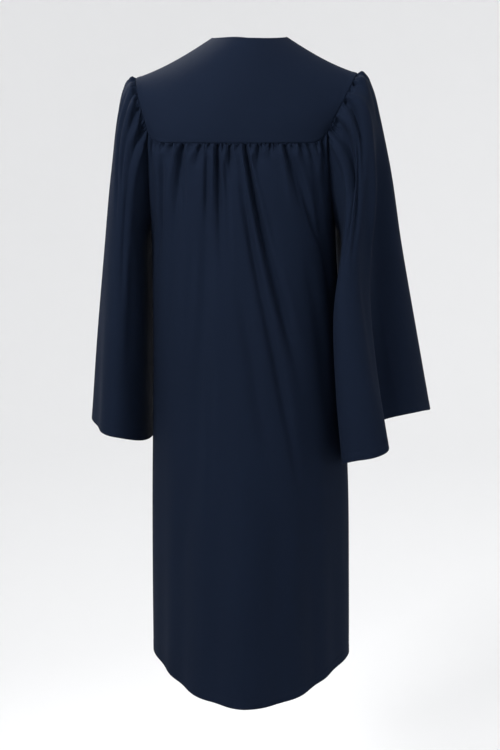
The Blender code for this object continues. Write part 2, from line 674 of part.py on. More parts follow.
def panel_rows():
    """Shares of the way down to the hem. The first ones meet the armhole at the panel turns."""
    reach = (UNDERARM_DROP - CORNER_DROP) / (SIDE_LENGTH - CORNER_DROP)
    return [reach * armhole_place(turn)[0] for turn in PANEL_TURNS] + list(LOWER_ROWS)


def panel_edge(side, i, front):
    """(normal, way back) for row i at a panel's long edge, which is the armhole and then the side seam."""
    sign = -1 if front else 1
    back = Vector((0, sign, 0))
    if i >= len(PANEL_TURNS):
        return Vector((side, 0, 0)), back
    normal, out = armhole_frame(side, sign * PANEL_TURNS[i])
    away = -out
    if i == 0:
        away -= seam_frame(side if not front else 1, front, side)[1]
    if PANEL_TURNS[i] == 180:
        away += back
    return normal, away


def build_back(material):
    rows, edges = [], {}
    for i, down in enumerate(panel_rows()):
        shares = [2 * j / BACK_COLUMNS - 1 for j in range(BACK_COLUMNS + 1)]
        if i >= FINE_ROWS:
            shares = shares[::2]
        rows.append([panel_point(share, down) for share in shares])
        if i == 0:
            for j, share in enumerate(shares):
                normal, up = seam_frame(share)
                edges[i, j] = (normal, -up)
        edges[i, 0] = panel_edge(-1, i, False)
        edges[i, len(shares) - 1] = panel_edge(1, i, False)
    straighten(rows, edges)
    wall("back_panel", rows, edges, material)


def build_front(side, material):
    rows, edges = [], {}
    for i, down in enumerate(panel_rows()):
        shares = [j / FRONT_COLUMNS for j in range(FRONT_COLUMNS + 1)]
        if i >= FINE_ROWS:
            shares = shares[::2]
        rows.append([panel_point(share, down, True, side) for share in shares])
        if i == 0:
            for j, share in enumerate(shares):
                normal, up = seam_frame(share, True, side)
                edges[i, j] = (normal, -up)
        edges[i, len(shares) - 1] = panel_edge(side, i, True)
    straighten(rows, edges)
    wall("front_left" if side > 0 else "front_right", rows, edges, material)


def yoke_edge(side, up, sign):
    """(normal, way back) at a yoke's armhole edge. The sign is 1 on the back yoke and -1 on a front one."""
    normal, out = armhole_frame(side, sign * 90 * (1 - up))
    away = -out
    if up == 0:
        away += seam_frame(side if sign > 0 else 1, sign < 0, side)[1]
    if up == 1:
        away += Vector((0, sign, 0))
    return normal, away


def shoulder_normal(side):
    return Vector((side * 0.447, 0, 0.894))


def build_yoke(material):
    rows, edges = [], {}
    for i in range(YOKE_ROWS + 1):
        up = i / YOKE_ROWS
        shares = [2 * j / YOKE_COLUMNS - 1 for j in range(YOKE_COLUMNS + 1)]
        if i >= YOKE_FINE_ROWS:
            shares = shares[::2]
        rows.append([yoke_point(share, up) for share in shares])
        for j, share in enumerate(shares):
            side = 1 if share >= 0 else -1
            if i == 0:
                edges[i, j] = seam_frame(share)
            if i == YOKE_ROWS and abs(share) > NECK_SHARE - 0.001:
                edges[i, j] = (shoulder_normal(side), Vector((0, 1, 0)))
        edges[i, 0] = yoke_edge(-1, up, 1)
        edges[i, len(shares) - 1] = yoke_edge(1, up, 1)
    wall("yoke_back", rows, edges, material)


def build_front_yoke(side, material):
    rows, edges = [], {}
    for i in range(YOKE_ROWS + 1):
        up = i / YOKE_ROWS
        shares = [j / FRONT_YOKE_COLUMNS for j in range(FRONT_YOKE_COLUMNS + 1)]
        if i >= YOKE_FINE_ROWS:
            shares = shares[::2]
        rows.append([front_yoke_point(side, share, up) for share in shares])
        for j, share in enumerate(shares):
            if i == 0:
                edges[i, j] = seam_frame(share, True, side)
            if i == YOKE_ROWS:
                edges[i, j] = (shoulder_normal(side), Vector((0, -1, 0)))
        edges[i, len(shares) - 1] = yoke_edge(side, up, -1)
    wall("yoke_front_left" if side > 0 else "yoke_front_right", rows, edges, material)


def armhole_seam(side, turn):
    """(point, normal, across) on the straight runs that the pieces share round the armhole."""
    turn = (turn + 180) % 360 - 180
    step = 90 / YOKE_ROWS
    over = [step * k - 90 for k in range(2 * YOKE_ROWS + 1)]
    shared = sorted({-t for t in PANEL_TURNS} | set(over) | set(PANEL_TURNS))
    low = max(t for t in shared if t <= turn)
    high = min(t for t in shared if t > turn)
    share = (turn - low) / (high - low)
    ends = [(armhole_point(side, t), *armhole_frame(side, t)) for t in (low, high)]
    return tuple(ends[0][k].lerp(ends[1][k], share) for k in range(3))


def sleeve_turns():
    """Columns round a sleeve: three to each yoke row over the head, and wider ones under the arm."""
    step = 30 / YOKE_ROWS
    head = [step * j - 90 for j in range(6 * YOKE_ROWS + 1)]
    return head + list(UNDER_TURNS) + [360 - turn for turn in UNDER_TURNS[-2::-1]]


def build_sleeve(side, material):
    rows, edges = [], {}
    for i, down in enumerate(SLEEVE_ROWS):
        turns = sleeve_turns()
        if i >= FINE_ROWS:
            turns = turns[::2]
        if i > 0:
            rows.append([sleeve_point(side, turn, down) for turn in turns])
            continue
        seam = [armhole_seam(side, turn) for turn in turns]
        rows.append([point for point, _, _ in seam])
        for j, (_, normal, out) in enumerate(seam):
            edges[i, j] = (normal, out)
    wall("sleeve_left" if side > 0 else "sleeve_right", rows, edges, material, closed=True)


def zip_line(share, down, sink):
    """Points of both front panels at that share, sunk into the body: the right one, then the left one."""
    found = []
    for side in (-1, 1):
        point = panel_point(share, down, True, side)
        angle = math.atan2(point.x, point.y)
        found.append(point - body_normal(angle, -point.z) * sink)
    return found


def zip_strip(name, columns, sink, thick, first_row, material):
    """A strip down the centre front. It is straight wherever the panels are, and stops at ZIP_END."""
    downs = panel_rows()
    rows = [columns(down, sink) for down in downs[first_row:]]
    share = (ZIP_END - downs[-2]) / (downs[-1] - downs[-2])
    rows[-1] = [a.lerp(b, share) for a, b in zip(rows[-2], rows[-1])]
    wall(name, rows, {}, material, thick=thick, facing=Vector((0, -1, 0)))


def tape_columns(down, sink):
    edge = zip_line(0, down, sink)
    outer = zip_line(2 / FRONT_COLUMNS, down, sink)
    return [outer[0], *edge, outer[1]]


def chain_columns(down, sink):
    edge = zip_line(0, down, sink)
    middle = (edge[0] + edge[1]) / 2
    return [middle + Vector((x, 0, 0)) for x in (-CHAIN_HALF_WIDTH, CHAIN_HALF_WIDTH)]


def blocks(name, us, vs, ws, filled, shape, frame, material):
    """One body of box cells between the planes us, vs and ws, in millimetres. `shape` bends a point and
    `frame` takes it to its place on the gown."""
    bm = bmesh.new()
    made = {}

    def corner(key):
        if key not in made:
            i, j, k = key
            made[key] = bm.verts.new(frame @ (shape(Vector((us[i], vs[j], ws[k]))) * MM))
        return made[key]

    sizes = (len(us) - 1, len(vs) - 1, len(ws) - 1)
    cells = {
        (i, j, k) for i in range(sizes[0]) for j in range(sizes[1]) for k in range(sizes[2]) if filled(i, j, k)
    }
    for cell in cells:
        for axis in range(3):
            for step in (0, 1):
                beside = list(cell)
                beside[axis] += 1 if step else -1
                if tuple(beside) in cells:
                    continue
                a, b = (axis + 1) % 3, (axis + 2) % 3
                loop = []
                for da, db in ((0, 0), (1, 0), (1, 1), (0, 1)):
                    key = list(cell)
                    key[axis] += step
                    key[a] += da
                    key[b] += db
                    loop.append(corner(tuple(key)))
                bm.faces.new(loop[::-1] if step else loop)
    return solid(name, bm, material)


def zip_frame():
    """The place of the zip's top end: x across, y down along the front, z out of the cloth."""
    top = sum(zip_line(0, 0.0, 0), Vector()) / 2
    lower = sum(zip_line(0, panel_rows()[2], 0), Vector()) / 2
    down = (lower - top).normalized()
    out = down.cross(Vector((1, 0, 0)))
    columns = Matrix((Vector((1, 0, 0)), down, out)).transposed()
    return Matrix.Translation(top) @ columns.to_4x4()


def build_zip(tape, metal):
    zip_strip("zip_tape", tape_columns, CLOTH + 0.00037, TAPE_THICK, 0, tape)
    zip_strip("zip_chain", chain_columns, 0.0001, CHAIN_THICK, 2, tape)
    frame = zip_frame()

    def slider_shape(p):
        return Vector((p.x * (1 - 0.30 * max(0.0, (p.y - 4) / 8) ** 2), p.y, p.z))

    def slider_filled(i, j, k):
        return k == 0 or (i == 1 and (k == 2 and 1 <= j <= 3 or k == 1 and j in (1, 3)))

    blocks(
        "zip_slider", (-4.2, -0.8, 0.8, 4.2), (1.2, 2.6, 3.8, 7.8, 9.0, 12.2), (-1.0, 1.5, 3.5, 4.3),
        slider_filled, slider_shape, frame, metal,
    )

    def pull_shape(p):
        return Vector((p.x * (1 - 0.45 * max(0.0, (p.y - 21) / 5) ** 2), p.y, p.z))

    blocks(
        "zip_pull", (-3.0, -1.4, 1.4, 3.0), (4.4, 5.6, 9.8, 21.0, 23.5, 26.0), (1.9, 3.1),
        lambda i, j, k: not (i == 1 and j == 1), pull_shape, frame, metal,
    )


for old in list(bpy.data.objects):
    bpy.data.objects.remove(old, do_unlink=True)
gown = bpy.data.collections.new("graduation_gown")
bpy.context.scene.collection.children.link(gown)
navy = cloth_material("navy_cloth", (0.011, 0.018, 0.036))
zip_tape_navy = cloth_material("zip_tape_navy", (0.010, 0.014, 0.028))
zip_metal = cloth_material("zip_metal", (0.020, 0.026, 0.042), roughness=0.4, metallic=0.6)
build_yoke(navy)
build_back(navy)
for wearer_side in (1, -1):
    build_front_yoke(wearer_side, navy)
    build_front(wearer_side, navy)
    build_sleeve(wearer_side, navy)
build_zip(zip_tape_navy, zip_metal)
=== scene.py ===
"""The graduation gown's looks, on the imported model's frame. Metres, +Z up, the front faces -Y.

Each panel is a thin shell on the same surface as its CAD solid, worked out here from the same named sizes,
with finer creases, rolled seams, turned-up hems, stitches, and a coil zip with its slider and pull tab.
"""

import math
from collections import namedtuple

import bpy
import numpy as np
from mathutils import Matrix, Vector


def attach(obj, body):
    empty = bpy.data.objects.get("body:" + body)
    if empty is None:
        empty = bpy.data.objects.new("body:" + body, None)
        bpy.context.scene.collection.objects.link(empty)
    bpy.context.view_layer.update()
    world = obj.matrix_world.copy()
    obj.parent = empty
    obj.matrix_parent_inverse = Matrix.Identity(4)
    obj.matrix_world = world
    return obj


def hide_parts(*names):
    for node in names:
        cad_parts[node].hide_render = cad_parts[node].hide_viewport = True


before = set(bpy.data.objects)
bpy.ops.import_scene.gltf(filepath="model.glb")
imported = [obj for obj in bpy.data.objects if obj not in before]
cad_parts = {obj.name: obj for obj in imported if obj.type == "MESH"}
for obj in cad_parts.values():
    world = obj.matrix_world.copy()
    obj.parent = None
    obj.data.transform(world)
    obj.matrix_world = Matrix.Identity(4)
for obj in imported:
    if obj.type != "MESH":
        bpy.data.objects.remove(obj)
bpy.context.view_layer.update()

# Driving dimensions, in metres, as in the part's source
BACK_LENGTH = 1.300
SIDE_LENGTH = 1.268
NECK_HALF_WIDTH = 0.073
NECK_BACK = 0.0715
NECK_SQUARE = 1.75  # the neck's back half is an ellipse, a little pointed
SHOULDER_REACH = 0.217
SHOULDER_DROP = {1: 0.072, -1: 0.064}
SHOULDER_SHIFT = 0.007
CORNER_DROP = 0.1745
YOKE_DROP = 0.196
FRONT_YOKE_DROP = 0.186
UNDERARM_DROP = 0.360
ARMHOLE_BACK = 0.0825
ARMHOLE_FRONT = 0.078
CORNER_RISE = 50.0
LEVEL_SHARE = 0.74
NECK_SHARE = 5 / 13
RIDGE_RISE = 0.0366
RIDGE_SLOPE = 1.043
RIDGE_ROUND = 0.050
RIDGE_FLARE = 1.65
ZIP_HALF_GAP = 0.0052
ZIP_END = 0.985

# The body's level sections: half width, reach behind and before the centre, how square the section
# is (2 is an ellipse, less is pinched at the side seams), and how far its centre lies to the left.
Section = namedtuple("Section", "drop half_width back front square shift")
BODY = (
    Section(0.140, 0.2030, 0.118, 0.106, 2.65, 0.0185),
    Section(0.175, 0.2020, 0.127, 0.117, 2.60, 0.0190),
    Section(0.200, 0.2010, 0.131, 0.123, 2.55, 0.0190),
    Section(0.250, 0.1970, 0.136, 0.135, 2.45, 0.0175),
    Section(0.310, 0.1900, 0.140, 0.144, 2.35, 0.0155),
    Section(0.360, 0.1840, 0.143, 0.148, 2.25, 0.0135),
    Section(0.500, 0.1880, 0.153, 0.153, 2.05, 0.0080),
    Section(0.700, 0.1970, 0.169, 0.160, 1.85, 0.0030),
    Section(0.900, 0.2050, 0.187, 0.169, 1.70, 0.0000),
    Section(1.100, 0.2085, 0.208, 0.184, 1.62, -0.0010),
    Section(1.300, 0.2105, 0.226, 0.196, 1.60, -0.0020),
)

# The sleeves' rings: how far down the sleeve, then drop and x of the outermost and innermost points,
# y of the two ends, how far the back end leans inwards, y of the outermost point, and how far the inner
# side bulges in behind the body's edge and before it.
Ring = namedtuple("Ring", "down out_drop in_drop out_x in_x back_y front_y lean out_y hug tuck")
LEFT_RINGS = (
    Ring(0.00, 0.072, 0.360, 0.224, 0.198, 0.083, -0.078, 0.000, 0.000, 0.000, 0.000),
    Ring(0.06, 0.088, 0.378, 0.240, 0.204, 0.100, -0.096, 0.000, 0.000, 0.000, 0.005),
    Ring(0.13, 0.132, 0.410, 0.256, 0.207, 0.106, -0.108, 0.000, -0.005, 0.000, 0.015),
    Ring(0.28, 0.245, 0.475, 0.277, 0.207, 0.108, -0.133, 0.002, -0.015, 0.000, 0.030),
    Ring(0.50, 0.400, 0.572, 0.297, 0.2075, 0.106, -0.162, 0.004, -0.030, 0.000, 0.038),
    Ring(0.75, 0.592, 0.680, 0.321, 0.2090, 0.104, -0.196, 0.006, -0.050, 0.000, 0.044),
    Ring(1.00, 0.768, 0.788, 0.339, 0.2100, 0.106, -0.226, 0.008, -0.065, 0.000, 0.046),
)
RIGHT_RINGS = (
    Ring(0.00, 0.064, 0.360, 0.210, 0.170, 0.083, -0.078, 0.000, 0.000, 0.000, 0.000),
    Ring(0.06, 0.080, 0.378, 0.228, 0.179, 0.101, -0.095, 0.002, 0.000, 0.000, 0.016),
    Ring(0.13, 0.126, 0.410, 0.247, 0.184, 0.114, -0.104, 0.012, -0.005, 0.000, 0.034),
    Ring(0.28, 0.240, 0.470, 0.278, 0.188, 0.130, -0.124, 0.034, -0.015, 0.003, 0.047),
    Ring(0.50, 0.398, 0.570, 0.305, 0.196, 0.141, -0.152, 0.056, -0.032, 0.010, 0.052),
    Ring(0.75, 0.588, 0.694, 0.342, 0.203, 0.152, -0.186, 0.056, -0.058, 0.015, 0.052),
    Ring(1.00, 0.754, 0.838, 0.375, 0.210, 0.160, -0.218, 0.050, -0.080, 0.016, 0.045),
)

# The right cuff from above, as x outwards and y for each turn, and how far its hem is lifted there. Its
# back half is folded into a near lobe, at 60 to 120 degrees, and a far one, with a deep valley between.
Cuff = namedtuple("Cuff", "turn x y lift")
RIGHT_CUFF = (
    Cuff(0, 0.377, -0.100, -0.003),
    Cuff(20, 0.354, -0.050, 0.006),
    Cuff(36, 0.316, -0.012, 0.010),
    Cuff(48, 0.278, 0.014, 0.005),
    Cuff(56, 0.267, 0.052, 0.000),
    Cuff(64, 0.272, 0.104, -0.002),
    Cuff(73, 0.273, 0.146, -0.006),
    Cuff(84, 0.253, 0.166, -0.004),
    Cuff(100, 0.216, 0.164, 0.000),
    Cuff(120, 0.192, 0.134, 0.000),
    Cuff(148, 0.196, 0.066, 0.000),
    Cuff(180, 0.207, -0.020, 0.000),
    Cuff(215, 0.196, -0.122, 0.000),
    Cuff(250, 0.236, -0.193, 0.000),
    Cuff(280, 0.288, -0.222, 0.000),
    Cuff(310, 0.335, -0.205, 0.000),
    Cuff(340, 0.370, -0.153, -0.003),
)
CUFF_SAG = 0.024  # how much lower the left cuff hangs beside the body, from that share of the sleeve down
CUFF_SAG_START = 0.50
CUFF_FOLD_START = 0.20  # share of the sleeve above which the right cuff's fold has run out

# Gathers. `at` is the place along the seam: millimetres to the left of the seam's centre on a panel,
# degrees round the armhole from the shoulder on a sleeve, positive at the back. The other columns
# are millimetres: depth, half width, length down the cloth, and how far the fold strays to the left.
Fold = namedtuple("Fold", "at deep wide long stray")
BACK_GATHERS = (
    Fold(186, 6.0, 4.5, 110, 4),
    Fold(169, 2.8, 3.4, 22, 0),
    Fold(154, 2.8, 3.4, 20, 0),
    Fold(138, 4.6, 4.0, 45, 2),
    Fold(117, 8.0, 5.0, 210, 16),
    Fold(98, 2.6, 3.4, 18, 0),
    Fold(80, 5.2, 4.2, 60, 9),
    Fold(61, 3.0, 3.4, 24, 0),
    Fold(43, 7.6, 5.0, 320, -12),
    Fold(29, 3.0, 3.4, 22, 0),
    Fold(14, 6.6, 4.4, 85, -4),
    Fold(-8, 2.8, 3.4, 20, 0),
    Fold(-23, 8.4, 5.2, 560, -84),
    Fold(-38, 3.0, 3.4, 20, 0),
    Fold(-54, 6.4, 4.6, 60, 2),
    Fold(-67, 2.6, 3.4, 18, 0),
    Fold(-79, 4.4, 3.8, 34, 0),
    Fold(-93, 2.6, 3.4, 20, 0),
    Fold(-107, 7.4, 4.8, 170, -34),
    Fold(-121, 3.0, 3.4, 26, -4),
    Fold(-136, 5.0, 4.2, 60, -12),
    Fold(-152, 4.2, 3.8, 75, -14),
    Fold(-168, 3.0, 3.4, 30, -4),
    Fold(-186, 7.0, 4.8, 120, -2),
)
FRONT_GATHERS = {
    1: (
        Fold(26, 4.6, 4.2, 90, -2),
        Fold(42, 2.8, 3.4, 24, 0),
        Fold(57, 7.0, 4.8, 300, 6),
        Fold(72, 3.0, 3.4, 28, 0),
        Fold(87, 5.4, 4.2, 120, 8),
        Fold(102, 3.0, 3.4, 26, 2),
        Fold(117, 7.2, 4.8, 380, 20),
        Fold(132, 3.0, 3.4, 26, 0),
        Fold(147, 4.8, 4.2, 90, 10),
        Fold(163, 5.8, 4.4, 150, 6),
    ),
    -1: (
        Fold(-25, 5.0, 4.2, 120, 2),
        Fold(-41, 3.0, 3.4, 26, 0),
        Fold(-55, 6.4, 4.8, 240, -8),
        Fold(-70, 2.8, 3.4, 22, 0),
        Fold(-86, 6.0, 4.4, 150, -10),
        Fold(-101, 3.0, 3.4, 30, 0),
        Fold(-116, 7.4, 4.8, 420, -22),
        Fold(-131, 3.2, 3.4, 24, 0),
        Fold(-146, 4.6, 4.2, 80, -8),
        Fold(-162, 6.0, 4.4, 140, -6),
    ),
}
LEFT_HEAD_GATHERS = (
    Fold(84, 6.7, 4.2, 90, 6),
    Fold(73, 4.1, 3.6, 28, 2),
    Fold(62, 6.4, 4.0, 60, 8),
    Fold(51, 4.3, 3.6, 32, 3),
    Fold(40, 6.7, 4.2, 70, 8),
    Fold(15, 5.2, 4.0, 60, 2),
    Fold(2, 4.6, 3.8, 44, 0),
    Fold(-12, 6.1, 4.0, 90, 0),
    Fold(-25, 4.3, 3.6, 34, 0),
    Fold(-38, 7.2, 4.4, 130, -4),
    Fold(-51, 4.6, 3.6, 40, -2),
    Fold(-63, 6.7, 4.2, 80, -4),
    Fold(-75, 4.6, 3.6, 40, -2),
    Fold(-86, 6.4, 4.2, 70, -4),
)
RIGHT_HEAD_GATHERS = (
    Fold(85, 8.3, 4.6, 130, 4),
    Fold(76, 8.6, 4.6, 150, 10),
    Fold(66, 4.2, 3.6, 40, 4),
    Fold(56, 7.8, 4.4, 140, 8),
    Fold(45, 4.4, 3.6, 44, 2),
    Fold(33, 5.7, 4.0, 60, 2),
    Fold(19, 3.9, 3.6, 36, 0),
    Fold(5, 6.0, 4.2, 70, 0),
    Fold(-10, 3.9, 3.6, 36, 0),
    Fold(-24, 6.2, 4.2, 110, -2),
    Fold(-38, 4.2, 3.6, 40, 0),
    Fold(-51, 6.2, 4.2, 100, -4),
    Fold(-64, 4.2, 3.6, 36, 0),
    Fold(-76, 6.5, 4.2, 90, -4),
    Fold(-87, 4.7, 3.8, 50, 0),
)

# Broad soft folds that hang lower down. On a panel `at` is as above, on a sleeve it is degrees round
# it. `start` and `full` are the drops, or the shares of the sleeve, where one begins and is deepest.
Drape = namedtuple("Drape", "at deep wide start full stray")
BODY_DRAPES = (
    Drape(150, 6, 22, 0.50, 1.25, 0),
    Drape(92, 7, 20, 0.42, 1.30, 8),
    Drape(30, 6, 17, 0.36, 1.20, 6),
    Drape(-38, 5, 18, 0.60, 1.30, -8),
    Drape(-96, 7, 20, 0.45, 1.30, -10),
    Drape(-150, 6, 22, 0.55, 1.25, 0),
)
FRONT_DRAPES = {
    1: (Drape(40, 9, 16, 0.40, 1.30, 4), Drape(96, 12, 20, 0.42, 1.30, 8), Drape(152, 8, 20, 0.5, 1.28, 0)),
    -1: (Drape(-42, 8, 16, 0.44, 1.30, -4), Drape(-98, 12, 20, 0.40, 1.30, -8), Drape(-150, 9, 20, 0.5, 1.28, 0)),
}
SLEEVE_DRAPES = {
    1: (Drape(38, 9, 17, 0.40, 1.00, 4), Drape(-42, 14, 16, 0.25, 1.00, -6), Drape(-122, 10, 15, 0.40, 1.00, 0)),
    -1: (Drape(-48, 14, 17, 0.25, 1.00, -6), Drape(-124, 10, 15, 0.40, 1.00, 0)),
}
MM = 0.001
PANEL_GAIN = 1.6  # the render's gathers are deeper than the solids'
SLEEVE_GAIN = 1.6
BACK_HALF_SEAM = 204.0
FRONT_HALF_SEAM = 186.0
SLEEVE_OUTER = 0.72  # length along the top of the arm
SLEEVE_INNER = 0.44

# Creases that the render alone has. On a panel `at` and `to` are millimetres along the seam, where the
# crease begins and ends, and `start` and `end` are drops. On a sleeve they are degrees and shares.
Crease = namedtuple("Crease", "at to start end deep wide")
BACK_CREASES = (
    Crease(153, 167, 0.196, 0.46, 8.0, 6),
    Crease(178, 186, 0.24, 0.48, 4.0, 9),
    Crease(112, 106, 0.196, 0.36, 5.0, 5),
    Crease(126, 132, 0.30, 0.62, 4.0, 10),
    Crease(92, 90, 0.34, 0.66, 3.2, 9),
    Crease(64, 66, 0.196, 0.36, 6.5, 5),
    Crease(60, 79, 0.24, 1.02, 8.5, 15),
    Crease(52, 50, 0.56, 0.99, 4.0, 8),
    Crease(22, 18, 0.20, 0.46, 4.0, 7),
    Crease(-5, -94, 0.205, 0.94, 9.0, 8),
    Crease(2, -42, 0.44, 0.86, 6.0, 11),
    Crease(-34, -96, 0.24, 0.70, 5.0, 8),
    Crease(-66, -78, 0.30, 0.62, 3.0, 10),
    Crease(-119, -162, 0.20, 0.42, 7.0, 6),
    Crease(-128, -138, 0.40, 0.76, 3.4, 11),
    Crease(-160, -170, 0.22, 0.60, 4.6, 9),
    Crease(84, 120, 0.80, 1.16, 3.0, 16),
    Crease(-60, -30, 0.86, 1.22, 3.0, 18),
)
FRONT_CREASES = {
    1: (
        Crease(34, 30, 0.22, 0.60, 2.8, 8),
        Crease(66, 84, 0.20, 0.52, 3.4, 9),
        Crease(112, 104, 0.26, 0.74, 3.6, 10),
        Crease(140, 152, 0.22, 0.46, 2.6, 7),
        Crease(60, 44, 0.62, 1.05, 2.4, 13),
    ),
    -1: (
        Crease(-32, -36, 0.22, 0.52, 2.8, 8),
        Crease(-72, -62, 0.20, 0.60, 3.4, 9),
        Crease(-108, -120, 0.24, 0.66, 3.6, 10),
        Crease(-146, -150, 0.22, 0.50, 2.6, 7),
        Crease(-84, -96, 0.66, 1.10, 2.4, 13),
    ),
}
SLEEVE_CREASES = {
    1: (
        Crease(42, 72, 0.01, 0.34, 8.0, 5),
        Crease(62, 80, 0.01, 0.22, 6.0, 5),
        Crease(28, 40, 0.005, 0.16, 4.0, 5),
        Crease(96, 92, 0.06, 0.60, 5.0, 9),
        Crease(120, 114, 0.20, 0.85, 3.0, 10),
        Crease(24, 16, 0.02, 0.20, 2.6, 6),
        Crease(-30, -36, 0.02, 0.30, 3.6, 7),
        Crease(-66, -74, 0.04, 0.40, 3.6, 8),
        Crease(-100, -112, 0.10, 0.55, 3.0, 9),
    ),
    -1: (
        Crease(41, 85, 0.0, 1.6, -11.0, 6),
        Crease(23, 66, 0.06, 1.6, 26.0, 12),
        Crease(84, 100, 0.01, 0.40, 8.0, 6),
        Crease(68, 80, 0.01, 0.46, 8.0, 5),
        Crease(56, 66, 0.01, 0.26, 5.0, 5),
        Crease(18, 14, 0.02, 0.24, 2.4, 6),
        Crease(-28, -34, 0.02, 0.30, 3.6, 7),
        Crease(-62, -72, 0.04, 0.42, 3.6, 8),
        Crease(-102, -114, 0.10, 0.60, 3.0, 9),
    ),
}


def smooth(value):
    """0 below 0, 1 above 1, and a smooth step between."""
    value = np.clip(value, 0.0, 1.0)
    return value * value * (3 - 2 * value)


def bell(value):
    return np.exp(-(value**2))


def vector(x, y, z):
    return np.stack(np.broadcast_arrays(x, y, z), axis=-1).astype(float)


def unit(vectors):
    return vectors / np.maximum(np.linalg.norm(vectors, axis=-1, keepdims=True), 1e-12)


def mixed(table, key):
    """The table's row at each `key`, its first column, with each column on a smooth curve through the rows."""
    rows = np.array(table, float)
    keys = rows[:, 0]
    count = len(keys)
    low, high = np.maximum(np.arange(count) - 1, 0), np.minimum(np.arange(count) + 1, count - 1)
    slope = (rows[high] - rows[low]) / (keys[high] - keys[low])[:, None]
    key = np.clip(key, keys[0], keys[-1])
    i = np.clip(np.searchsorted(keys, key, side="right") - 1, 0, count - 2)
    span = (keys[i + 1] - keys[i])[..., None]
    t = (key - keys[i])[..., None] / span
    found = rows[i] + (rows[i + 1] - rows[i]) * smooth(t)
    found = found + span * (t * (1 - t) ** 2 * slope[i] - t * t * (1 - t) * slope[i + 1])
    return type(table[0])(*np.moveaxis(found, -1, 0))


def body_point(angle, drop):
    """Points of the body's sections. Angle 0 is the centre back and pi / 2 the left side."""
    row = mixed(BODY, drop)
    c, s = np.cos(angle), np.sin(angle)
    depth = np.where(c >= 0, row.back, row.front)
    reach = (np.abs(s) / row.half_width) ** row.square + (np.abs(c) / depth) ** row.square
    radius = reach ** (-1 / row.square)
    shift = row.shift * np.where(c >= 0, 1.0, s * s)
    return vector(shift + radius * s, radius * c, -np.asarray(drop))


def body_normal(angle, drop):
    along = body_point(angle + 0.02, drop) - body_point(angle - 0.02, drop)
    return unit(vector(-along[..., 1], along[..., 0], 0.0))


def armhole_place(turn):
    """(drop below the corner, y) of the armhole, for one that is as deep above the corner as below."""
    turn = np.radians(turn)
    s = np.sin(turn)
    return -np.cos(turn), s * np.where(s >= 0, ARMHOLE_BACK, ARMHOLE_FRONT)


def armhole_angle(drop, y):
    """The body angle, from the centre back or front, of the point of a section that lies at that y."""
    row = mixed(BODY, drop)
    depth = np.where(y >= 0, row.back, row.front)
    reach = row.half_width * (1 - np.abs(y / depth) ** row.square) ** (1 / row.square)
    return np.arctan2(reach, np.abs(y))


def armhole_point(side, turn):
    """The armhole on one side. Turn 0 is the end of the shoulder seam, 90 the back corner of the yoke,
    180 the underarm, and -90 the front corner."""
    below, y = armhole_place(turn)
    drop = CORNER_DROP + (UNDERARM_DROP - CORNER_DROP) * np.maximum(below, 0)
    angle = armhole_angle(drop, y)
    under = body_point(side * np.where(y >= 0, angle, np.pi - angle), drop)
    corner = armhole_angle(CORNER_DROP, np.where(y >= 0, ARMHOLE_BACK, -ARMHOLE_FRONT))
    x = body_point(side * np.where(y >= 0, corner, np.pi - corner), CORNER_DROP)[..., 0]
    rise = np.maximum(-below, 0)
    tip = SHOULDER_SHIFT + side * SHOULDER_REACH
    over = vector(x + (tip - x) * rise, y, (CORNER_DROP - SHOULDER_DROP[side]) * rise - CORNER_DROP)
    return np.where((below >= 0)[..., None], under, over)


def edge_angle(drop, front):
    """The body angle, from the centre back or the centre front, at which a panel ends at that drop."""
    share = np.clip((drop - CORNER_DROP) / (UNDERARM_DROP - CORNER_DROP), 0, 1)
    turn = 90 + np.degrees(np.arcsin(share))
    y = armhole_place(-turn if front else turn)[1]
    return np.where(drop >= UNDERARM_DROP, np.pi / 2, armhole_angle(drop, y))


def hermite(start, end, leave, arrive, t):
    t = np.asarray(t)[..., None]
    return start + (end - start) * smooth(t) + leave * (t * (1 - t) ** 2) - arrive * (t * t * (1 - t))


def zip_angle(drop):
    """The body angle of the front edges, from the centre front."""
    return np.arcsin(ZIP_HALF_GAP / mixed(BODY, drop).front)


def seam_place(share, front):
    """(angle, drop) of the yoke seam, from share 0 at the centre, or at the zip, to 1 or -1 at a corner."""
    level = FRONT_YOKE_DROP if front else YOKE_DROP
    start = zip_angle(level) if front else 0.0
    corner = edge_angle(CORNER_DROP, front)
    rise = math.radians(CORNER_RISE)
    even = np.abs(share)
    bend = np.maximum(0.0, (even - LEVEL_SHARE) / (1 - LEVEL_SHARE)) * rise
    level_angle = start + (corner - start) * 0.80
    angle = start + (level_angle - start) * np.minimum(even, LEVEL_SHARE) / LEVEL_SHARE
    angle = angle + (corner - level_angle) * np.sin(bend) / math.sin(rise)
    return angle, level - (level - CORNER_DROP) * (1 - np.cos(bend)) / (1 - math.cos(rise))


def seam_point(share, front=False, side=None):
    side = np.where(np.asarray(share) >= 0, 1, -1) if side is None else side
    angle, drop = seam_place(share, front)
    return body_point(side * (np.pi - angle if front else angle), drop)


def hem_drop(angle, front):
    """The hem is lowest at the centre back and lifts towards the side seams."""
    middle = BACK_LENGTH - 0.012 if front else BACK_LENGTH
    return middle + (SIDE_LENGTH - middle) * np.abs(np.sin(angle)) ** 2.9


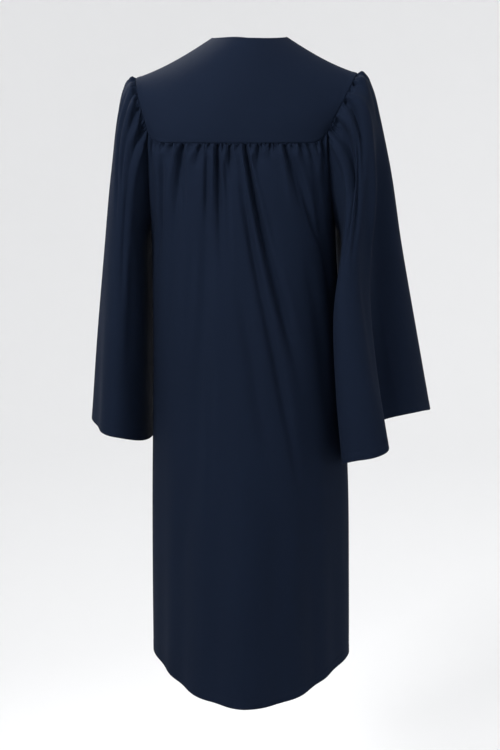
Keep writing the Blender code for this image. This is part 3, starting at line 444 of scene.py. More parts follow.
def gathered(folds, at, below, gain=1.0):
    """How deep the gathers lie at `at` along the seam, `below` metres down from it. Each is a sharp trough
    with a steep side and a soft one, and a low ridge beside it where the cloth is pushed up."""
    depth = np.zeros(np.broadcast(at, below).shape)
    for i, fold in enumerate(folds):
        run = below / (fold.long * MM)
        wide = fold.wide * (0.72 + 1.8 * run)
        lean = 1 if i % 2 else -1
        across = (at - fold.at - fold.stray * run) / wide
        skewed = across * np.where(across * lean > 0, 0.80, 1.35)
        grown = smooth(below / 0.007) * (1 - smooth(run))
        ridge = 0.40 * bell((across + 2.1 * lean) / 0.9) + 0.20 * bell((across - 2.3 * lean) / 1.1)
        depth += gain * fold.deep * MM * grown * (bell(skewed) - ridge)
    return depth


def pinched(at, below, pitch, deep):
    """The fine ruching right under a gathered seam: narrow troughs, uneven in place, depth and length."""
    place = at / pitch + 0.45 * np.sin(at / pitch * 1.13 + 0.6) + 0.30 * np.sin(at / pitch * 0.37 + 2.1)
    number = np.floor(place)
    across = place - number - 0.5
    uneven = np.sin(number * 12.9898) * 0.5 + 0.5
    other = np.sin(number * 4.1414 + 1.0) * 0.5 + 0.5
    trough = bell((across + 0.30 * (other - 0.5)) / 0.17) - 0.30
    fade = 1 - smooth(below / (0.009 + 0.016 * other))
    return deep * (0.35 + 0.65 * uneven) * trough * smooth(below / 0.0016) * fade


def draped(drapes, at, where):
    depth = 0.0
    for drape in drapes:
        run = np.maximum((where - drape.start) / (drape.full - drape.start), 0)
        middle = drape.at + drape.stray * run
        depth = depth + drape.deep * MM * smooth(run) * bell((at - middle) / drape.wide)
    return depth


def creased(creases, at, where):
    """Long creases between two places on a panel: `at` and `where` of each end."""
    depth = 0.0
    for crease in creases:
        run = (where - crease.start) / (crease.end - crease.start)
        middle = crease.at + (crease.to - crease.at) * np.clip(run, 0, 1)
        faded = smooth(run / 0.25) * (1 - smooth((run - 0.55) / 0.45))
        depth = depth + crease.deep * MM * faded * bell((at - middle) / crease.wide)
    return depth


def panel_point(share, down, front=False, side=None):
    """Points of the back panel or of a front panel. Share runs as in seam_place; down is 0 at the yoke
    seam and 1 at the hem."""
    side = np.where(np.asarray(share) >= 0, 1, -1) if side is None else side
    even = np.abs(share)
    top_angle, top = seam_place(share, front)
    drop = top + (hem_drop(even * np.pi / 2, front) - top) * down
    start = zip_angle(drop) if front else 0.0
    top_start = zip_angle(FRONT_YOKE_DROP) if front else 0.0
    corner = edge_angle(CORNER_DROP, front)
    level = (top_angle - top_start) / (corner - top_start)
    below = drop - top
    easy = corner + (np.pi / 2 - corner) * smooth(below / 0.45)
    edge = edge_angle(CORNER_DROP + below, front)
    angle = start + (easy - start) * (level + (even - level) * smooth(below / 0.30))
    angle = angle + (edge - easy) * even**8
    angle = side * (np.pi - angle if front else angle)
    point = body_point(angle, drop)
    if front:
        point[..., 0] = np.where(even == 0, side * ZIP_HALF_GAP, point[..., 0])
    at = side * even * (FRONT_HALF_SEAM if front else BACK_HALF_SEAM)
    depth = gathered(FRONT_GATHERS[side] if front else BACK_GATHERS, at, below, PANEL_GAIN)
    depth = depth + draped(FRONT_DRAPES[side] if front else BODY_DRAPES, at, drop)
    depth = depth + creased(FRONT_CREASES[side] if front else BACK_CREASES, at, drop)
    puff = 0.0055 * smooth(below / 0.022) * (1 - smooth(below / 0.55))
    calm = 1 - smooth((even - 0.90) / 0.10)
    if front:
        calm = calm * smooth((even - 0.06) / 0.12)
    ruched = pinched(at, below, 7.6, 0.0072) * (1 - smooth((even - 0.97) / 0.03)) * (smooth(even / 0.03) if front else 1)
    return point + body_normal(angle, drop) * ((puff - depth) * calm - ruched)[..., None]


def ridge_point(share):
    """The shoulder line over the body, from 0 at the centre, where no cloth is, to 1 or -1 at a sleeve."""
    share = np.asarray(share, float)
    even = np.abs(share)
    bow = (NECK_HALF_WIDTH - SHOULDER_REACH * NECK_SHARE) / (NECK_SHARE**2 - NECK_SHARE)
    reach = (SHOULDER_REACH - bow) * even + bow * even**2

    def height(x):
        return RIDGE_RISE - RIDGE_SLOPE * (np.hypot(x, RIDGE_ROUND) - RIDGE_ROUND) + RIDGE_FLARE * x**2

    shoulder = np.where(share >= 0, SHOULDER_DROP[1], SHOULDER_DROP[-1])
    rise = height(reach) - (shoulder + height(SHOULDER_REACH)) * even**2
    side = np.where(share >= 0, 1, -1)
    return vector(side * reach + SHOULDER_SHIFT * even**2, 0.0, rise)


def length(vectors):
    return np.linalg.norm(vectors, axis=-1, keepdims=True)


def yoke_surface(share, up):
    """The back yoke, carried on under the neck as far as the shoulder line."""
    side = np.where(np.asarray(share) >= 0, 1, -1)
    leave, arrive = np.array((0, 0.10, 1.0)), np.array((0, -1.15, 0.16))
    start, end = seam_point(share), ridge_point(share)
    reach = length(end - start)
    point = hermite(start, end, leave * reach, arrive * reach, up)
    move = np.zeros(np.broadcast_shapes(point.shape, np.shape(up) + (3,)))
    for one in (1, -1):
        edge_start, edge_end = seam_point(one), armhole_point(one, np.array(0.0))
        reach = length(edge_end - edge_start)
        plain = hermite(edge_start, edge_end, leave * reach, arrive * reach, up)
        gap = armhole_point(one, 90 * (1 - np.asarray(up, float))) - plain
        move = np.where((side == one)[..., None], gap, move)
    return point + move * (np.abs(share) ** 5)[..., None]


def neck_place(share):
    """How far up a column of the yoke the neck cuts it, which is 1 where it ends at the shoulder seam."""
    low, high = np.full(share.shape, 0.3), np.ones(share.shape)
    for _ in range(30):
        middle = (low + high) / 2
        point = yoke_surface(share, middle)
        x = point[..., 0] - SHOULDER_SHIFT * share**2
        across, back = np.abs(x) / NECK_HALF_WIDTH, np.abs(point[..., 1]) / NECK_BACK
        inside = across**NECK_SQUARE + back**NECK_SQUARE < 1
        low, high = np.where(inside, low, middle), np.where(inside, middle, high)
    return np.where(np.abs(share) > NECK_SHARE - 1e-6, 1.0, low)


def front_seam_point(side, share):
    point = seam_point(share, True, side)
    point[..., 0] = np.where(share == 0, side * ZIP_HALF_GAP, point[..., 0])
    return point


def front_yoke_point(side, share, up):
    """A front yoke. Share is 0 at the neck edge and 1 at the sleeve; up is 0 at the seam, 1 at the shoulder."""
    start = front_seam_point(side, share)
    end = ridge_point(side * (NECK_SHARE + (1 - NECK_SHARE) * share))
    reach = length(end - start)
    leave = vector(side * 0.16 * (1 - share), -0.10, 1.0) * reach
    arrive = vector(side * 0.30 * (1 - share), 1.0, 0.42 * (1 - share) + 0.10) * reach
    point = hermite(start, end, leave, arrive, up)
    edge_start, edge_end = front_seam_point(side, np.array(1.0)), armhole_point(side, np.array(0.0))
    reach = length(edge_end - edge_start)
    plain = hermite(edge_start, edge_end, np.array((0, -0.10, 1.0)) * reach, np.array((0, 1.0, 0.10)) * reach, up)
    return point + (armhole_point(side, -90 * (1 - up)) - plain) * (share**5)[..., None]


def cuff_place(turn):
    """The right cuff's row at that turn, on a smooth closed curve through its table."""
    before = tuple(Cuff(row.turn - 360, *row[1:]) for row in RIGHT_CUFF[-2:])
    after = tuple(Cuff(row.turn + 360, *row[1:]) for row in RIGHT_CUFF[:2])
    return mixed(before + RIGHT_CUFF + after, turn % 360)


def ring_place(row, turn):
    """(x outwards, y) of a sleeve's ring at that turn."""
    c, s = np.cos(np.radians(turn)), np.sin(np.radians(turn))
    x = (row.out_x + row.in_x) / 2 + (row.out_x - row.in_x) / 2 * c
    x = x - row.lean * s * s * np.where(s > 0, 1.0, -0.35)
    x = x - 2 * np.maximum(0.0, -c) * (row.hug * np.maximum(0.0, s) + row.tuck * np.maximum(0.0, -s) ** 2)
    y = (row.back_y + row.front_y) / 2 * s * s + (row.back_y - row.front_y) / 2 * s + row.out_y * c * c
    return x, y


def ring_point(side, turn, down):
    """Points on the smooth ring of a sleeve, before its gathers. Turn runs as round the armhole."""
    row = mixed(LEFT_RINGS if side > 0 else RIGHT_RINGS, down)
    x, y = ring_place(row, turn)
    c = np.cos(np.radians(turn))
    drop = (row.out_drop + row.in_drop) / 2 + (row.out_drop - row.in_drop) / 2 * c
    if side > 0:
        sag = smooth((down - CUFF_SAG_START) / (1 - CUFF_SAG_START)) * np.maximum(0.0, -c) ** 2
        drop = drop + CUFF_SAG * sag
    else:
        folded = smooth((down - CUFF_FOLD_START) / (1 - CUFF_FOLD_START))
        cuff = cuff_place(turn)
        plain_x, plain_y = ring_place(RIGHT_RINGS[-1], turn)
        x = x + (cuff.x - plain_x) * folded
        y = y + (cuff.y - plain_y) * folded
        drop = drop - cuff.lift * folded
    return vector(side * x, y, -drop)


def smooth_sleeve_point(side, turn, down):
    """The ring, eased so that the first one lies on the armhole."""
    ease = (np.maximum(0.0, 1 - down / 0.16) ** 2)[..., None]
    return ring_point(side, turn, down) + (armhole_point(side, turn) - ring_point(side, turn, 0.0)) * ease


def sleeve_point(side, turn, down):
    point = smooth_sleeve_point(side, turn, down)
    along = smooth_sleeve_point(side, turn + 1, down) - smooth_sleeve_point(side, turn - 1, down)
    high, low = np.maximum(0.0, down - 0.004), np.minimum(1.0, down + 0.004)
    below = smooth_sleeve_point(side, turn, low) - smooth_sleeve_point(side, turn, high)
    normal = unit(np.cross(along, below)) * -side
    bend = np.cos(np.radians(turn))
    where = down * (SLEEVE_INNER + (SLEEVE_OUTER - SLEEVE_INNER) * (1 + bend) / 2)
    at = (turn + 180) % 360 - 180
    head = smooth((100 - np.abs(at)) / 10)
    depth = gathered(LEFT_HEAD_GATHERS if side > 0 else RIGHT_HEAD_GATHERS, at, where, SLEEVE_GAIN)
    depth = depth + pinched(at, where, 5.2, 0.0064) * head
    for lap in (-360, 0, 360):
        depth = depth + draped(SLEEVE_DRAPES[side], turn + lap, down)
        depth = depth + creased(SLEEVE_CREASES[side], turn + lap, down)
    puff = 0.008 * smooth(where / 0.020) * (1 - smooth(where / 0.20)) * (1 + bend) / 2
    return point + normal * (puff - depth)[..., None]


def graded(total, *runs):
    """Shares from 0 to 1 along `total`, in (length, step) runs. The run with no length takes what is left,
    and their count is even, so that every second one ends at 1 as well."""
    rest = total - sum(run for run, _ in runs if run)
    counts = [max(1, round((run or rest) / step)) for run, step in runs]
    free = next(i for i, (run, _) in enumerate(runs) if not run)
    counts[free] += sum(counts) % 2
    steps = [np.full(count, (run or rest) / count) for count, (run, _) in zip(counts, runs)]
    return np.concatenate([[0.0], np.cumsum(np.concatenate(steps))]) / total


def reach_along(points, axis):
    """How far each point of a grid lies from the first one along an axis."""
    step = np.linalg.norm(np.diff(points, axis=axis), axis=-1)
    start = np.zeros_like(np.take(step, [0], axis=axis))
    return np.concatenate([start, np.cumsum(step, axis=axis)], axis=axis)


def grid_normals(points, facing):
    """Normals of a grid, out of the side that `facing` looks to at its middle."""
    normals = unit(np.cross(np.gradient(points, axis=1), np.gradient(points, axis=0)))
    middle = normals[normals.shape[0] // 2, normals.shape[1] // 2]
    return normals if middle @ np.array(facing) > 0 else -normals


# An edge of a panel: it is rolled in over `radius` by `deep`, and the layers turned in under it raise it
# by `raised` as far as `band`, where the stitches run if there are any.
Edge = namedtuple("Edge", "radius deep raised band stitched")
PLAIN_SEAM = Edge(0.0026, 0.0013, 0.0, 0.0, False)
TUCKED = Edge(0.0020, 0.0011, 0.0, 0.0, False)
LAPPED = Edge(0.0010, 0.0006, 0.0005, 0.0068, True)
LAPPED_PLAIN = Edge(0.0012, 0.0006, 0.0004, 0.0080, False)
HEM = Edge(0.0010, 0.0005, 0.0002, 0.0200, True)
NECK = Edge(0.0010, 0.0006, 0.0004, 0.0050, True)
PLACKET = Edge(0.0010, 0.0006, 0.0003, 0.0090, True)


def from_edge(points, edge):
    """How far each point of a grid lies from its top, bottom, first or last edge."""
    axis = 0 if edge in ("top", "bottom") else 1
    reach = reach_along(points, axis)
    return np.take(reach, [-1], axis=axis) - reach if edge in ("bottom", "last") else reach


def turned_in(points, facing, edges):
    """The grid with its edges rolled in, their layers raised and their stitch lines dimpled."""
    normals = grid_normals(points, facing)
    move = np.zeros(points.shape[:2])
    for name, edge in edges.items():
        away = from_edge(points, name)
        move -= edge.deep * (1 - np.sqrt(1 - np.clip(1 - away / edge.radius, 0, 1) ** 2))
        if edge.band:
            move += edge.raised * (1 - smooth((away - edge.band) / 0.0018))
        if edge.stitched:
            move -= 0.00035 * bell((away - edge.band) / 0.0010)
    return points + normals * move[..., None]


def line_beside(points, normals, away, edge):
    """(points, normals) of the line on a grid that runs `away` metres from one of its edges."""
    if edge in ("first", "last"):
        points, normals = points.swapaxes(0, 1), normals.swapaxes(0, 1)
    if edge in ("bottom", "last"):
        points, normals = points[::-1], normals[::-1]
    reach = reach_along(points, 0)
    i = np.clip((reach < away).sum(axis=0) - 1, 0, len(points) - 2)
    j = np.arange(points.shape[1])
    share = ((away - reach[i, j]) / (reach[i + 1, j] - reach[i, j]))[:, None]
    line = points[i, j] + (points[i + 1, j] - points[i, j]) * share
    return line, unit(normals[i, j] + (normals[i + 1, j] - normals[i, j]) * share)


def linked(name, points, faces, cloth=None):
    """A mesh object of joined points and faces, with its places on the cloth, in metres, as a UV map."""
    mesh = bpy.data.meshes.new(name)
    mesh.from_pydata(points.tolist(), [], faces)
    mesh.update()
    mesh.shade_smooth()
    if cloth is not None:
        corners = np.empty(len(mesh.loops), np.int32)
        mesh.loops.foreach_get("vertex_index", corners)
        layer = mesh.uv_layers.new(name="cloth")
        layer.uv.foreach_set("vector", cloth[corners].astype(np.float32).ravel())
    obj = bpy.data.objects.new(name, mesh)
    bpy.context.scene.collection.objects.link(obj)
    return obj


def shell(name, points, thick, facing):
    """A cloth wall on a grid of outer points. Its inner side has every second row and column."""
    normals = grid_normals(points, facing)
    inner = (points - normals * np.broadcast_to(thick, points.shape[:2])[..., None])[::2, ::2]
    rows, columns = points.shape[:2]
    outer_at = np.arange(rows * columns).reshape(rows, columns)
    inner_at = rows * columns + np.arange(inner.shape[0] * inner.shape[1]).reshape(inner.shape[:2])

    def quads(at):
        return np.stack([at[:-1, :-1], at[1:, :-1], at[1:, 1:], at[:-1, 1:]], axis=-1).reshape(-1, 4)

    def rim(fine, coarse):
        a, b, c = fine[:-2:2], fine[1:-1:2], fine[2::2]
        near, far = coarse[:-1], coarse[1:]
        return np.concatenate([np.stack(part, axis=-1) for part in ((a, b, near), (b, far, near), (b, c, far))])

    parts = (
        quads(outer_at),
        quads(inner_at)[:, ::-1],
        rim(outer_at[0], inner_at[0]),
        rim(outer_at[-1], inner_at[-1])[:, ::-1],
        rim(outer_at[:, 0], inner_at[:, 0])[:, ::-1],
        rim(outer_at[:, -1], inner_at[:, -1]),
    )
    a, b, c = (points[rows // 2 + i, columns // 2 + j] for i, j in ((0, 0), (1, 0), (0, 1)))
    outwards = np.cross(b - a, c - a) @ normals[rows // 2, columns // 2] > 0
    faces = [face if outwards else face[::-1] for part in parts for face in part.tolist()]
    u, v = reach_along(points, 1), reach_along(points, 0)
    places = np.stack([u - u[:, columns // 2 : columns // 2 + 1], v], axis=-1)
    cloth = np.concatenate([places.reshape(-1, 2), places[::2, ::2].reshape(-1, 2)])
    return linked(name, np.concatenate([points.reshape(-1, 3), inner.reshape(-1, 3)]), faces, cloth), normals


def capsules(name, centres, along, up, half_length, radius, flat=1.0):
    """Small rounded bars in one mesh, each along its own direction."""
    places = (-1.0, -0.74, 0.74, 1.0)
    swell = (0.45, 1.0, 1.0, 0.45)
    sides = 6
    side = unit(np.cross(along, up))
    up = unit(np.cross(side, along))
    rings = []
    for place, size in zip(places, swell):
        for k in range(sides):
            turn = 2 * math.pi * k / sides
            out = side * (math.cos(turn) * radius * size) + up * (math.sin(turn) * radius * size * flat)
            rings.append(centres + along * (half_length * place) + out)
    points = np.stack(rings, axis=1)
    one = []
    for ring in range(len(places) - 1):
        for k in range(sides):
            a, b = ring * sides + k, ring * sides + (k + 1) % sides
            one.append((a, b, b + sides, a + sides))
    ends = [list(range(sides))[::-1], [(len(places) - 1) * sides + k for k in range(sides)]]
    count = points.shape[1]
    faces = []
    for i in range(len(centres)):
        faces += [tuple(v + i * count for v in face) for face in (*one, *ends)]
    return linked(name, points.reshape(-1, 3), faces)


def spaced_along(line, normals, pitch):
    """(centres, directions, normals) at even steps along a line."""
    step = np.linalg.norm(np.diff(line, axis=0), axis=1)
    reach = np.concatenate([[0.0], np.cumsum(step)])
    at = np.arange(pitch, reach[-1] - pitch / 2, pitch)

    def read(values, where):
        return np.stack([np.interp(where, reach, values[:, k]) for k in range(3)], axis=1)

    direction = unit(read(line, at + pitch * 0.3) - read(line, at - pitch * 0.3))
    return read(line, at), direction, unit(read(normals, at))


def stitches(name, line, normals, material, pitch=0.0030):
    """A line of lockstitches, each half sunk in the cloth."""
    centres, along, up = spaced_along(line, normals, pitch)
    obj = capsules(name, centres - up * 0.00003, along, up, pitch * 0.43, 0.00025, 0.8)
    obj.data.materials.append(material)
    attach(obj, "gown")
    return obj


def node(tree, kind, **values):
    """A shader node with its settings, and with its inputs set or linked by name."""
    made = tree.nodes.new("ShaderNode" + kind)
    for key, value in values.items():
        if hasattr(made, key):
            setattr(made, key, value)
            continue
        found = made.inputs[int(key[1:])] if key[0] == "i" and key[1:].isdigit() else made.inputs[key.replace("_", " ")]
        if isinstance(value, bpy.types.NodeSocket):
            tree.links.new(value, found)
        else:
            found.default_value = value
    return made


def woven_material(name, colour, pitch=0.00045, sheen=0.01, roughness=0.85, strength=0.30, tone=0.12):
    """Plain-woven cloth: threads and a little crumple from the places on the cloth, and slow changes of tone."""
    material = bpy.data.materials.new(name)
    material.use_nodes = True
    tree = material.node_tree
    shader = tree.nodes["Principled BSDF"]
    places = node(tree, "UVMap", uv_map="cloth").outputs["UV"]
    parts = node(tree, "SeparateXYZ", Vector=places).outputs
    turns = 2 * math.pi / pitch
    waves = []
    for part in (parts["X"], parts["Y"]):
        half = node(tree, "Math", operation="MULTIPLY", i0=part, i1=turns / 2).outputs[0]
        waves.append(node(tree, "Math", operation="SINE", i0=half).outputs[0])
    over = node(tree, "Math", operation="MULTIPLY", i0=waves[0], i1=waves[1]).outputs[0]
    squares = [node(tree, "Math", operation="MULTIPLY", i0=wave, i1=wave).outputs[0] for wave in waves]
    threads = node(tree, "Math", operation="ADD", i0=squares[0], i1=squares[1]).outputs[0]
    weave = node(tree, "Math", operation="MULTIPLY_ADD", i0=over, i1=0.5, i2=threads).outputs[0]
    crumple = node(tree, "TexNoise", Vector=places, Scale=85.0, Detail=3.0, Roughness=0.5).outputs["Fac"]
    slub_place = node(tree, "VectorMath", operation="MULTIPLY", i0=places, i1=(40.0, 900.0, 1.0)).outputs[0]
    slub = node(tree, "TexNoise", Vector=slub_place, Scale=1.0, Detail=1.0).outputs["Fac"]
    soft = node(tree, "Bump", Height=crumple, Strength=0.22, Distance=0.0014).outputs["Normal"]
    fine = node(tree, "Bump", Height=weave, Strength=strength, Distance=0.00008, Normal=soft).outputs["Normal"]
    here = node(tree, "NewGeometry").outputs["Position"]
    slow = node(tree, "TexNoise", Vector=here, Scale=5.0, Detail=2.0).outputs["Fac"]
    mixed_tone = node(tree, "Math", operation="MULTIPLY_ADD", i0=slub, i1=0.35, i2=slow).outputs[0]
    share = node(tree, "MapRange", Value=mixed_tone, From_Min=0.35, From_Max=1.0).outputs[0]
    dark = tuple(c * (1 - tone / 2) for c in colour)
    light = tuple(c * (1 + tone / 2) for c in colour)
    ramp = node(tree, "Mix", data_type="RGBA", Factor=share)
    ramp.inputs[6].default_value = (*dark, 1)
    ramp.inputs[7].default_value = (*light, 1)
    tree.links.new(ramp.outputs[2], shader.inputs["Base Color"])
    rough = node(tree, "MapRange", Value=slow, To_Min=roughness - 0.05, To_Max=roughness + 0.05).outputs[0]
    tree.links.new(rough, shader.inputs["Roughness"])
    tree.links.new(fine, shader.inputs["Normal"])
    shader.inputs["Specular IOR Level"].default_value = 0.03
    shader.inputs["Sheen Weight"].default_value = sheen
    shader.inputs["Sheen Roughness"].default_value = 0.5
    shader.inputs["Sheen Tint"].default_value = (0.42, 0.52, 0.80, 1)
    return material


def plain_material(name, colour, roughness, metallic=0.0, grain=900.0, strength=0.2, specular=0.35):
    """Thread, moulded teeth or painted metal, with a fine uneven surface."""
    material = bpy.data.materials.new(name)
    material.use_nodes = True
    tree = material.node_tree
    shader = tree.nodes["Principled BSDF"]
    here = node(tree, "NewGeometry").outputs["Position"]
    noise = node(tree, "TexNoise", Vector=here, Scale=grain, Detail=2.0).outputs["Fac"]
    ramp = node(tree, "Mix", data_type="RGBA", Factor=noise)
    ramp.inputs[6].default_value = (*(c * 0.88 for c in colour), 1)
    ramp.inputs[7].default_value = (*(c * 1.14 for c in colour), 1)
    tree.links.new(ramp.outputs[2], shader.inputs["Base Color"])
    rough = node(tree, "MapRange", Value=noise, To_Min=roughness - 0.06, To_Max=roughness + 0.08).outputs[0]
    tree.links.new(rough, shader.inputs["Roughness"])
    bump = node(tree, "Bump", Height=noise, Strength=strength, Distance=0.00005).outputs["Normal"]
    tree.links.new(bump, shader.inputs["Normal"])
    shader.inputs["Metallic"].default_value = metallic
    shader.inputs["Specular IOR Level"].default_value = specular
    return material


def seam_allowance(share, front=False, side=1):
    """Two rows above a panel's top edge, where its cloth runs on under the yoke."""
    angle, drop = seam_place(share, front)
    angle = np.where(np.asarray(share) >= 0, 1, -1) * angle if not front else side * (np.pi - angle)
    inwards = -body_normal(angle, drop)
    seam = seam_point(share, front, side if front else None)
    tall = 1 - 0.7 * np.abs(share) ** 12
    tall = tall * smooth(share / 0.09) if front else tall
    up = np.array((0.0, 0.0, 1.0))
    rows = [seam + up * (high * tall)[:, None] + inwards * deep for high, deep in ((0.0065, 0.0026), (0.0012, 0.0019))]
    return np.stack(rows)


def sleeve_allowance(side, turns):
    """Two rows inside a sleeve's top edge, where its cloth runs on under the yoke and the panels."""
    seam = armhole_point(side, turns)
    inwards = unit(np.array((side * 0.10, 0.0, -0.20)) - seam)
    return np.stack([seam + inwards * deep for deep in (0.0070, 0.0022)])


def cloth_piece(name, stood_for, points, facing, edges, under=None):
    """One panel: its edges turned in, made a shell and stitched. The rows
    of `under` are joined on above its top edge."""
    points = turned_in(points, facing, edges)
    if under is not None:
        points = np.concatenate([under, points])
    thick = np.full(points.shape[:2], CLOTH)
    for edge_name, edge in edges.items():
        if edge.band:
            layers = CLOTH_LAYER * (1 - smooth((from_edge(points, edge_name) - edge.band) / 0.0012))
            thick = np.maximum(thick, CLOTH + layers)
    obj, normals = shell(name, points, thick, facing)
    obj.data.materials.append(navy)
    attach(obj, "gown")
    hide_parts(stood_for)
    for edge_name, edge in edges.items():
        if edge.stitched:
            line, up = line_beside(points, normals, edge.band, edge_name)
            stitches(f"{name}_stitches_{edge_name}", line, up, thread)
    return obj


def make_back():
    shares = graded(0.408, (0.0032, 0.0008), (None, 0.00118), (0.0032, 0.0008)) * 2 - 1
    points = panel_point(shares[None, :], PANEL_DOWNS[:, None])
    edges = {"top": TUCKED, "bottom": HEM, "first": PLAIN_SEAM, "last": PLAIN_SEAM}
    under = seam_allowance(shares)
    cloth_piece("back_panel_cloth", "back_panel", points, (0, 1, 0), edges, under)


def make_front(side):
    shares = graded(0.186, (0.0030, 0.0006), (0.009, 0.0011), (None, 0.00118), (0.0032, 0.0008))
    points = panel_point(shares[None, :], PANEL_DOWNS[:, None], True, side)
    edges = {"top": TUCKED, "bottom": HEM, "first": PLACKET, "last": PLAIN_SEAM}
    stem = "front_left" if side > 0 else "front_right"
    under = seam_allowance(shares, True, side)
    under[:, 0, 0] = side * ZIP_HALF_GAP
    cloth_piece(stem + "_cloth", stem, points, (0, -1, 0), edges, under)


def make_yoke():
    shares = graded(0.434, (0.0032, 0.0008), (None, 0.0015), (0.0032, 0.0008)) * 2 - 1
    for corner in (-NECK_SHARE, NECK_SHARE):
        shares[np.abs(shares - corner).argmin()] = corner
    ups = graded(0.20, (0.011, 0.0009), (None, 0.0026), (0.008, 0.0010))
    points = yoke_surface(shares[None, :], ups[:, None] * neck_place(shares)[None, :])
    edges = {"top": LAPPED, "bottom": NECK_AND_SHOULDER, "first": LAPPED_PLAIN, "last": LAPPED_PLAIN}
    cloth_piece("yoke_back_cloth", "yoke_back", points, (0, 1, 0), edges)


def make_front_yoke(side):
    shares = graded(0.17, (0.0032, 0.0008), (None, 0.0015), (0.0032, 0.0008))
    ups = graded(0.20, (0.011, 0.0009), (None, 0.0026), (0.0032, 0.0008))
    points = front_yoke_point(side, shares[None, :], ups[:, None])
    edges = {"top": LAPPED, "bottom": PLAIN_SEAM, "first": NECK, "last": LAPPED_PLAIN}
    stem = "yoke_front_left" if side > 0 else "yoke_front_right"
    cloth_piece(stem + "_cloth", stem, points, (0, -1, 0.4), edges)


def make_sleeve(side):
    half = graded(0.43, (None, 0.00136), (0.11, 0.0022), (0.0032, 0.0008)) * 180
    turns = np.concatenate([-half[:0:-1], half])
    downs = graded(SLEEVE_OUTER, (0.004, 0.0008), (0.036, 0.002), (0.14, 0.004), (None, 0.0105), (0.026, 0.0016), (0.0032, 0.0008))
    points = sleeve_point(side, turns[None, :], downs[:, None])
    edges = {"top": TUCKED, "bottom": HEM, "first": PLAIN_SEAM, "last": PLAIN_SEAM}
    stem = "sleeve_left" if side > 0 else "sleeve_right"
    under = sleeve_allowance(side, turns)
    cloth_piece(stem + "_cloth", stem, points, (side, 0, 0), edges, under)


def zip_point(across, down, sink):
    """A place behind the front edges: across is 0 at the centre, +-1 at the tape's edges, sunk into the body."""
    ends = []
    gap = 0.27
    share = TAPE_SHARE * np.maximum((np.abs(across) - gap) / (1 - gap), 0)
    for side in (-1, 1):
        point = panel_point(share, down, True, side)
        angle = np.arctan2(point[..., 0], point[..., 1])
        ends.append(point - body_normal(angle, -point[..., 2]) * np.asarray(sink)[..., None])
    right = np.clip((across + gap) / (2 * gap), 0, 1)[..., None]
    return ends[0] * (1 - right) + ends[1] * right


def zip_frame():
    """The place of the zip's top end: x across, y down along the front, z out of the cloth."""
    reach = (UNDERARM_DROP - CORNER_DROP) / (SIDE_LENGTH - CORNER_DROP)
    lower_share = reach * float(armhole_place(94.0)[0])
    top, lower = (Vector(zip_point(np.array(0.0), np.array(down), 0.0)) for down in (0.0, lower_share))
    down = (lower - top).normalized()
    out = down.cross(Vector((1, 0, 0)))
    columns = Matrix((Vector((1, 0, 0)), down, out)).transposed()
    return Matrix.Translation(top) @ columns.to_4x4()


def make_zip():
    across = np.linspace(-1, 1, 41)
    downs = np.linspace(0, ZIP_END, 261)
    sink = 0.00157 - 0.0002 * bell((np.abs(across) - 0.16) / 0.05)
    points = zip_point(across[None, :], downs[:, None], sink[None, :])
    tape, _ = shell("zip_tape_cloth", points, 0.0006, (0, -1, 0))
    tape.data.materials.append(tape_cloth)
    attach(tape, "gown")
    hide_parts("zip_tape")
    line = zip_point(np.array(0.0), np.linspace(0.012, ZIP_END - 0.001, 400), 0.00062)
    up = grid_normals(zip_point(across[None, :], np.linspace(0.012, ZIP_END - 0.001, 400)[:, None], 0.0), (0, -1, 0))[:, 20]
    centres, along, out = spaced_along(line, up, TOOTH_PITCH)
    sideways = unit(np.cross(along, out))
    flip = np.where(np.arange(len(centres)) % 2 == 0, 1.0, -1.0)[:, None]
    teeth = capsules("zip_teeth_row", centres + sideways * flip * 0.00085, sideways, out, 0.00150, 0.00052)
    teeth.data.materials.append(teeth_plastic)
    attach(teeth, "gown")
    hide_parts("zip_chain")


def blocks(name, us, vs, ws, filled, shape, bevel, body, stood_for):
    """A moulded piece of box cells between the planes us, vs and ws, in millimetres, with rounded edges."""
    frame_of_zip = zip_frame()
    points, index, faces = [], {}, []
    sizes = (len(us) - 1, len(vs) - 1, len(ws) - 1)
    cells = {(i, j, k) for i in range(sizes[0]) for j in range(sizes[1]) for k in range(sizes[2]) if filled(i, j, k)}
    for cell in sorted(cells):
        for axis in range(3):
            for step in (0, 1):
                beside = list(cell)
                beside[axis] += 1 if step else -1
                if tuple(beside) in cells:
                    continue
                loop = []
                for da, db in ((0, 0), (1, 0), (1, 1), (0, 1)):
                    key = list(cell)
                    key[axis] += step
                    key[(axis + 1) % 3] += da
                    key[(axis + 2) % 3] += db
                    key = tuple(key)
                    if key not in index:
                        index[key] = len(points)
                        place = shape(Vector((us[key[0]], vs[key[1]], ws[key[2]]))) * MM
                        points.append(list(frame_of_zip @ place))
                    loop.append(index[key])
                faces.append(loop[::-1] if step else loop)
    obj = linked(name, np.array(points), faces)
    rounding = obj.modifiers.new("rounding", "BEVEL")
    rounding.width = bevel
    rounding.segments = 3
    rounding.angle_limit = math.radians(35)
    obj.modifiers.new("shading", "WEIGHTED_NORMAL")
    obj.data.materials.append(metal)
    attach(obj, body)
    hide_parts(stood_for)
    return obj


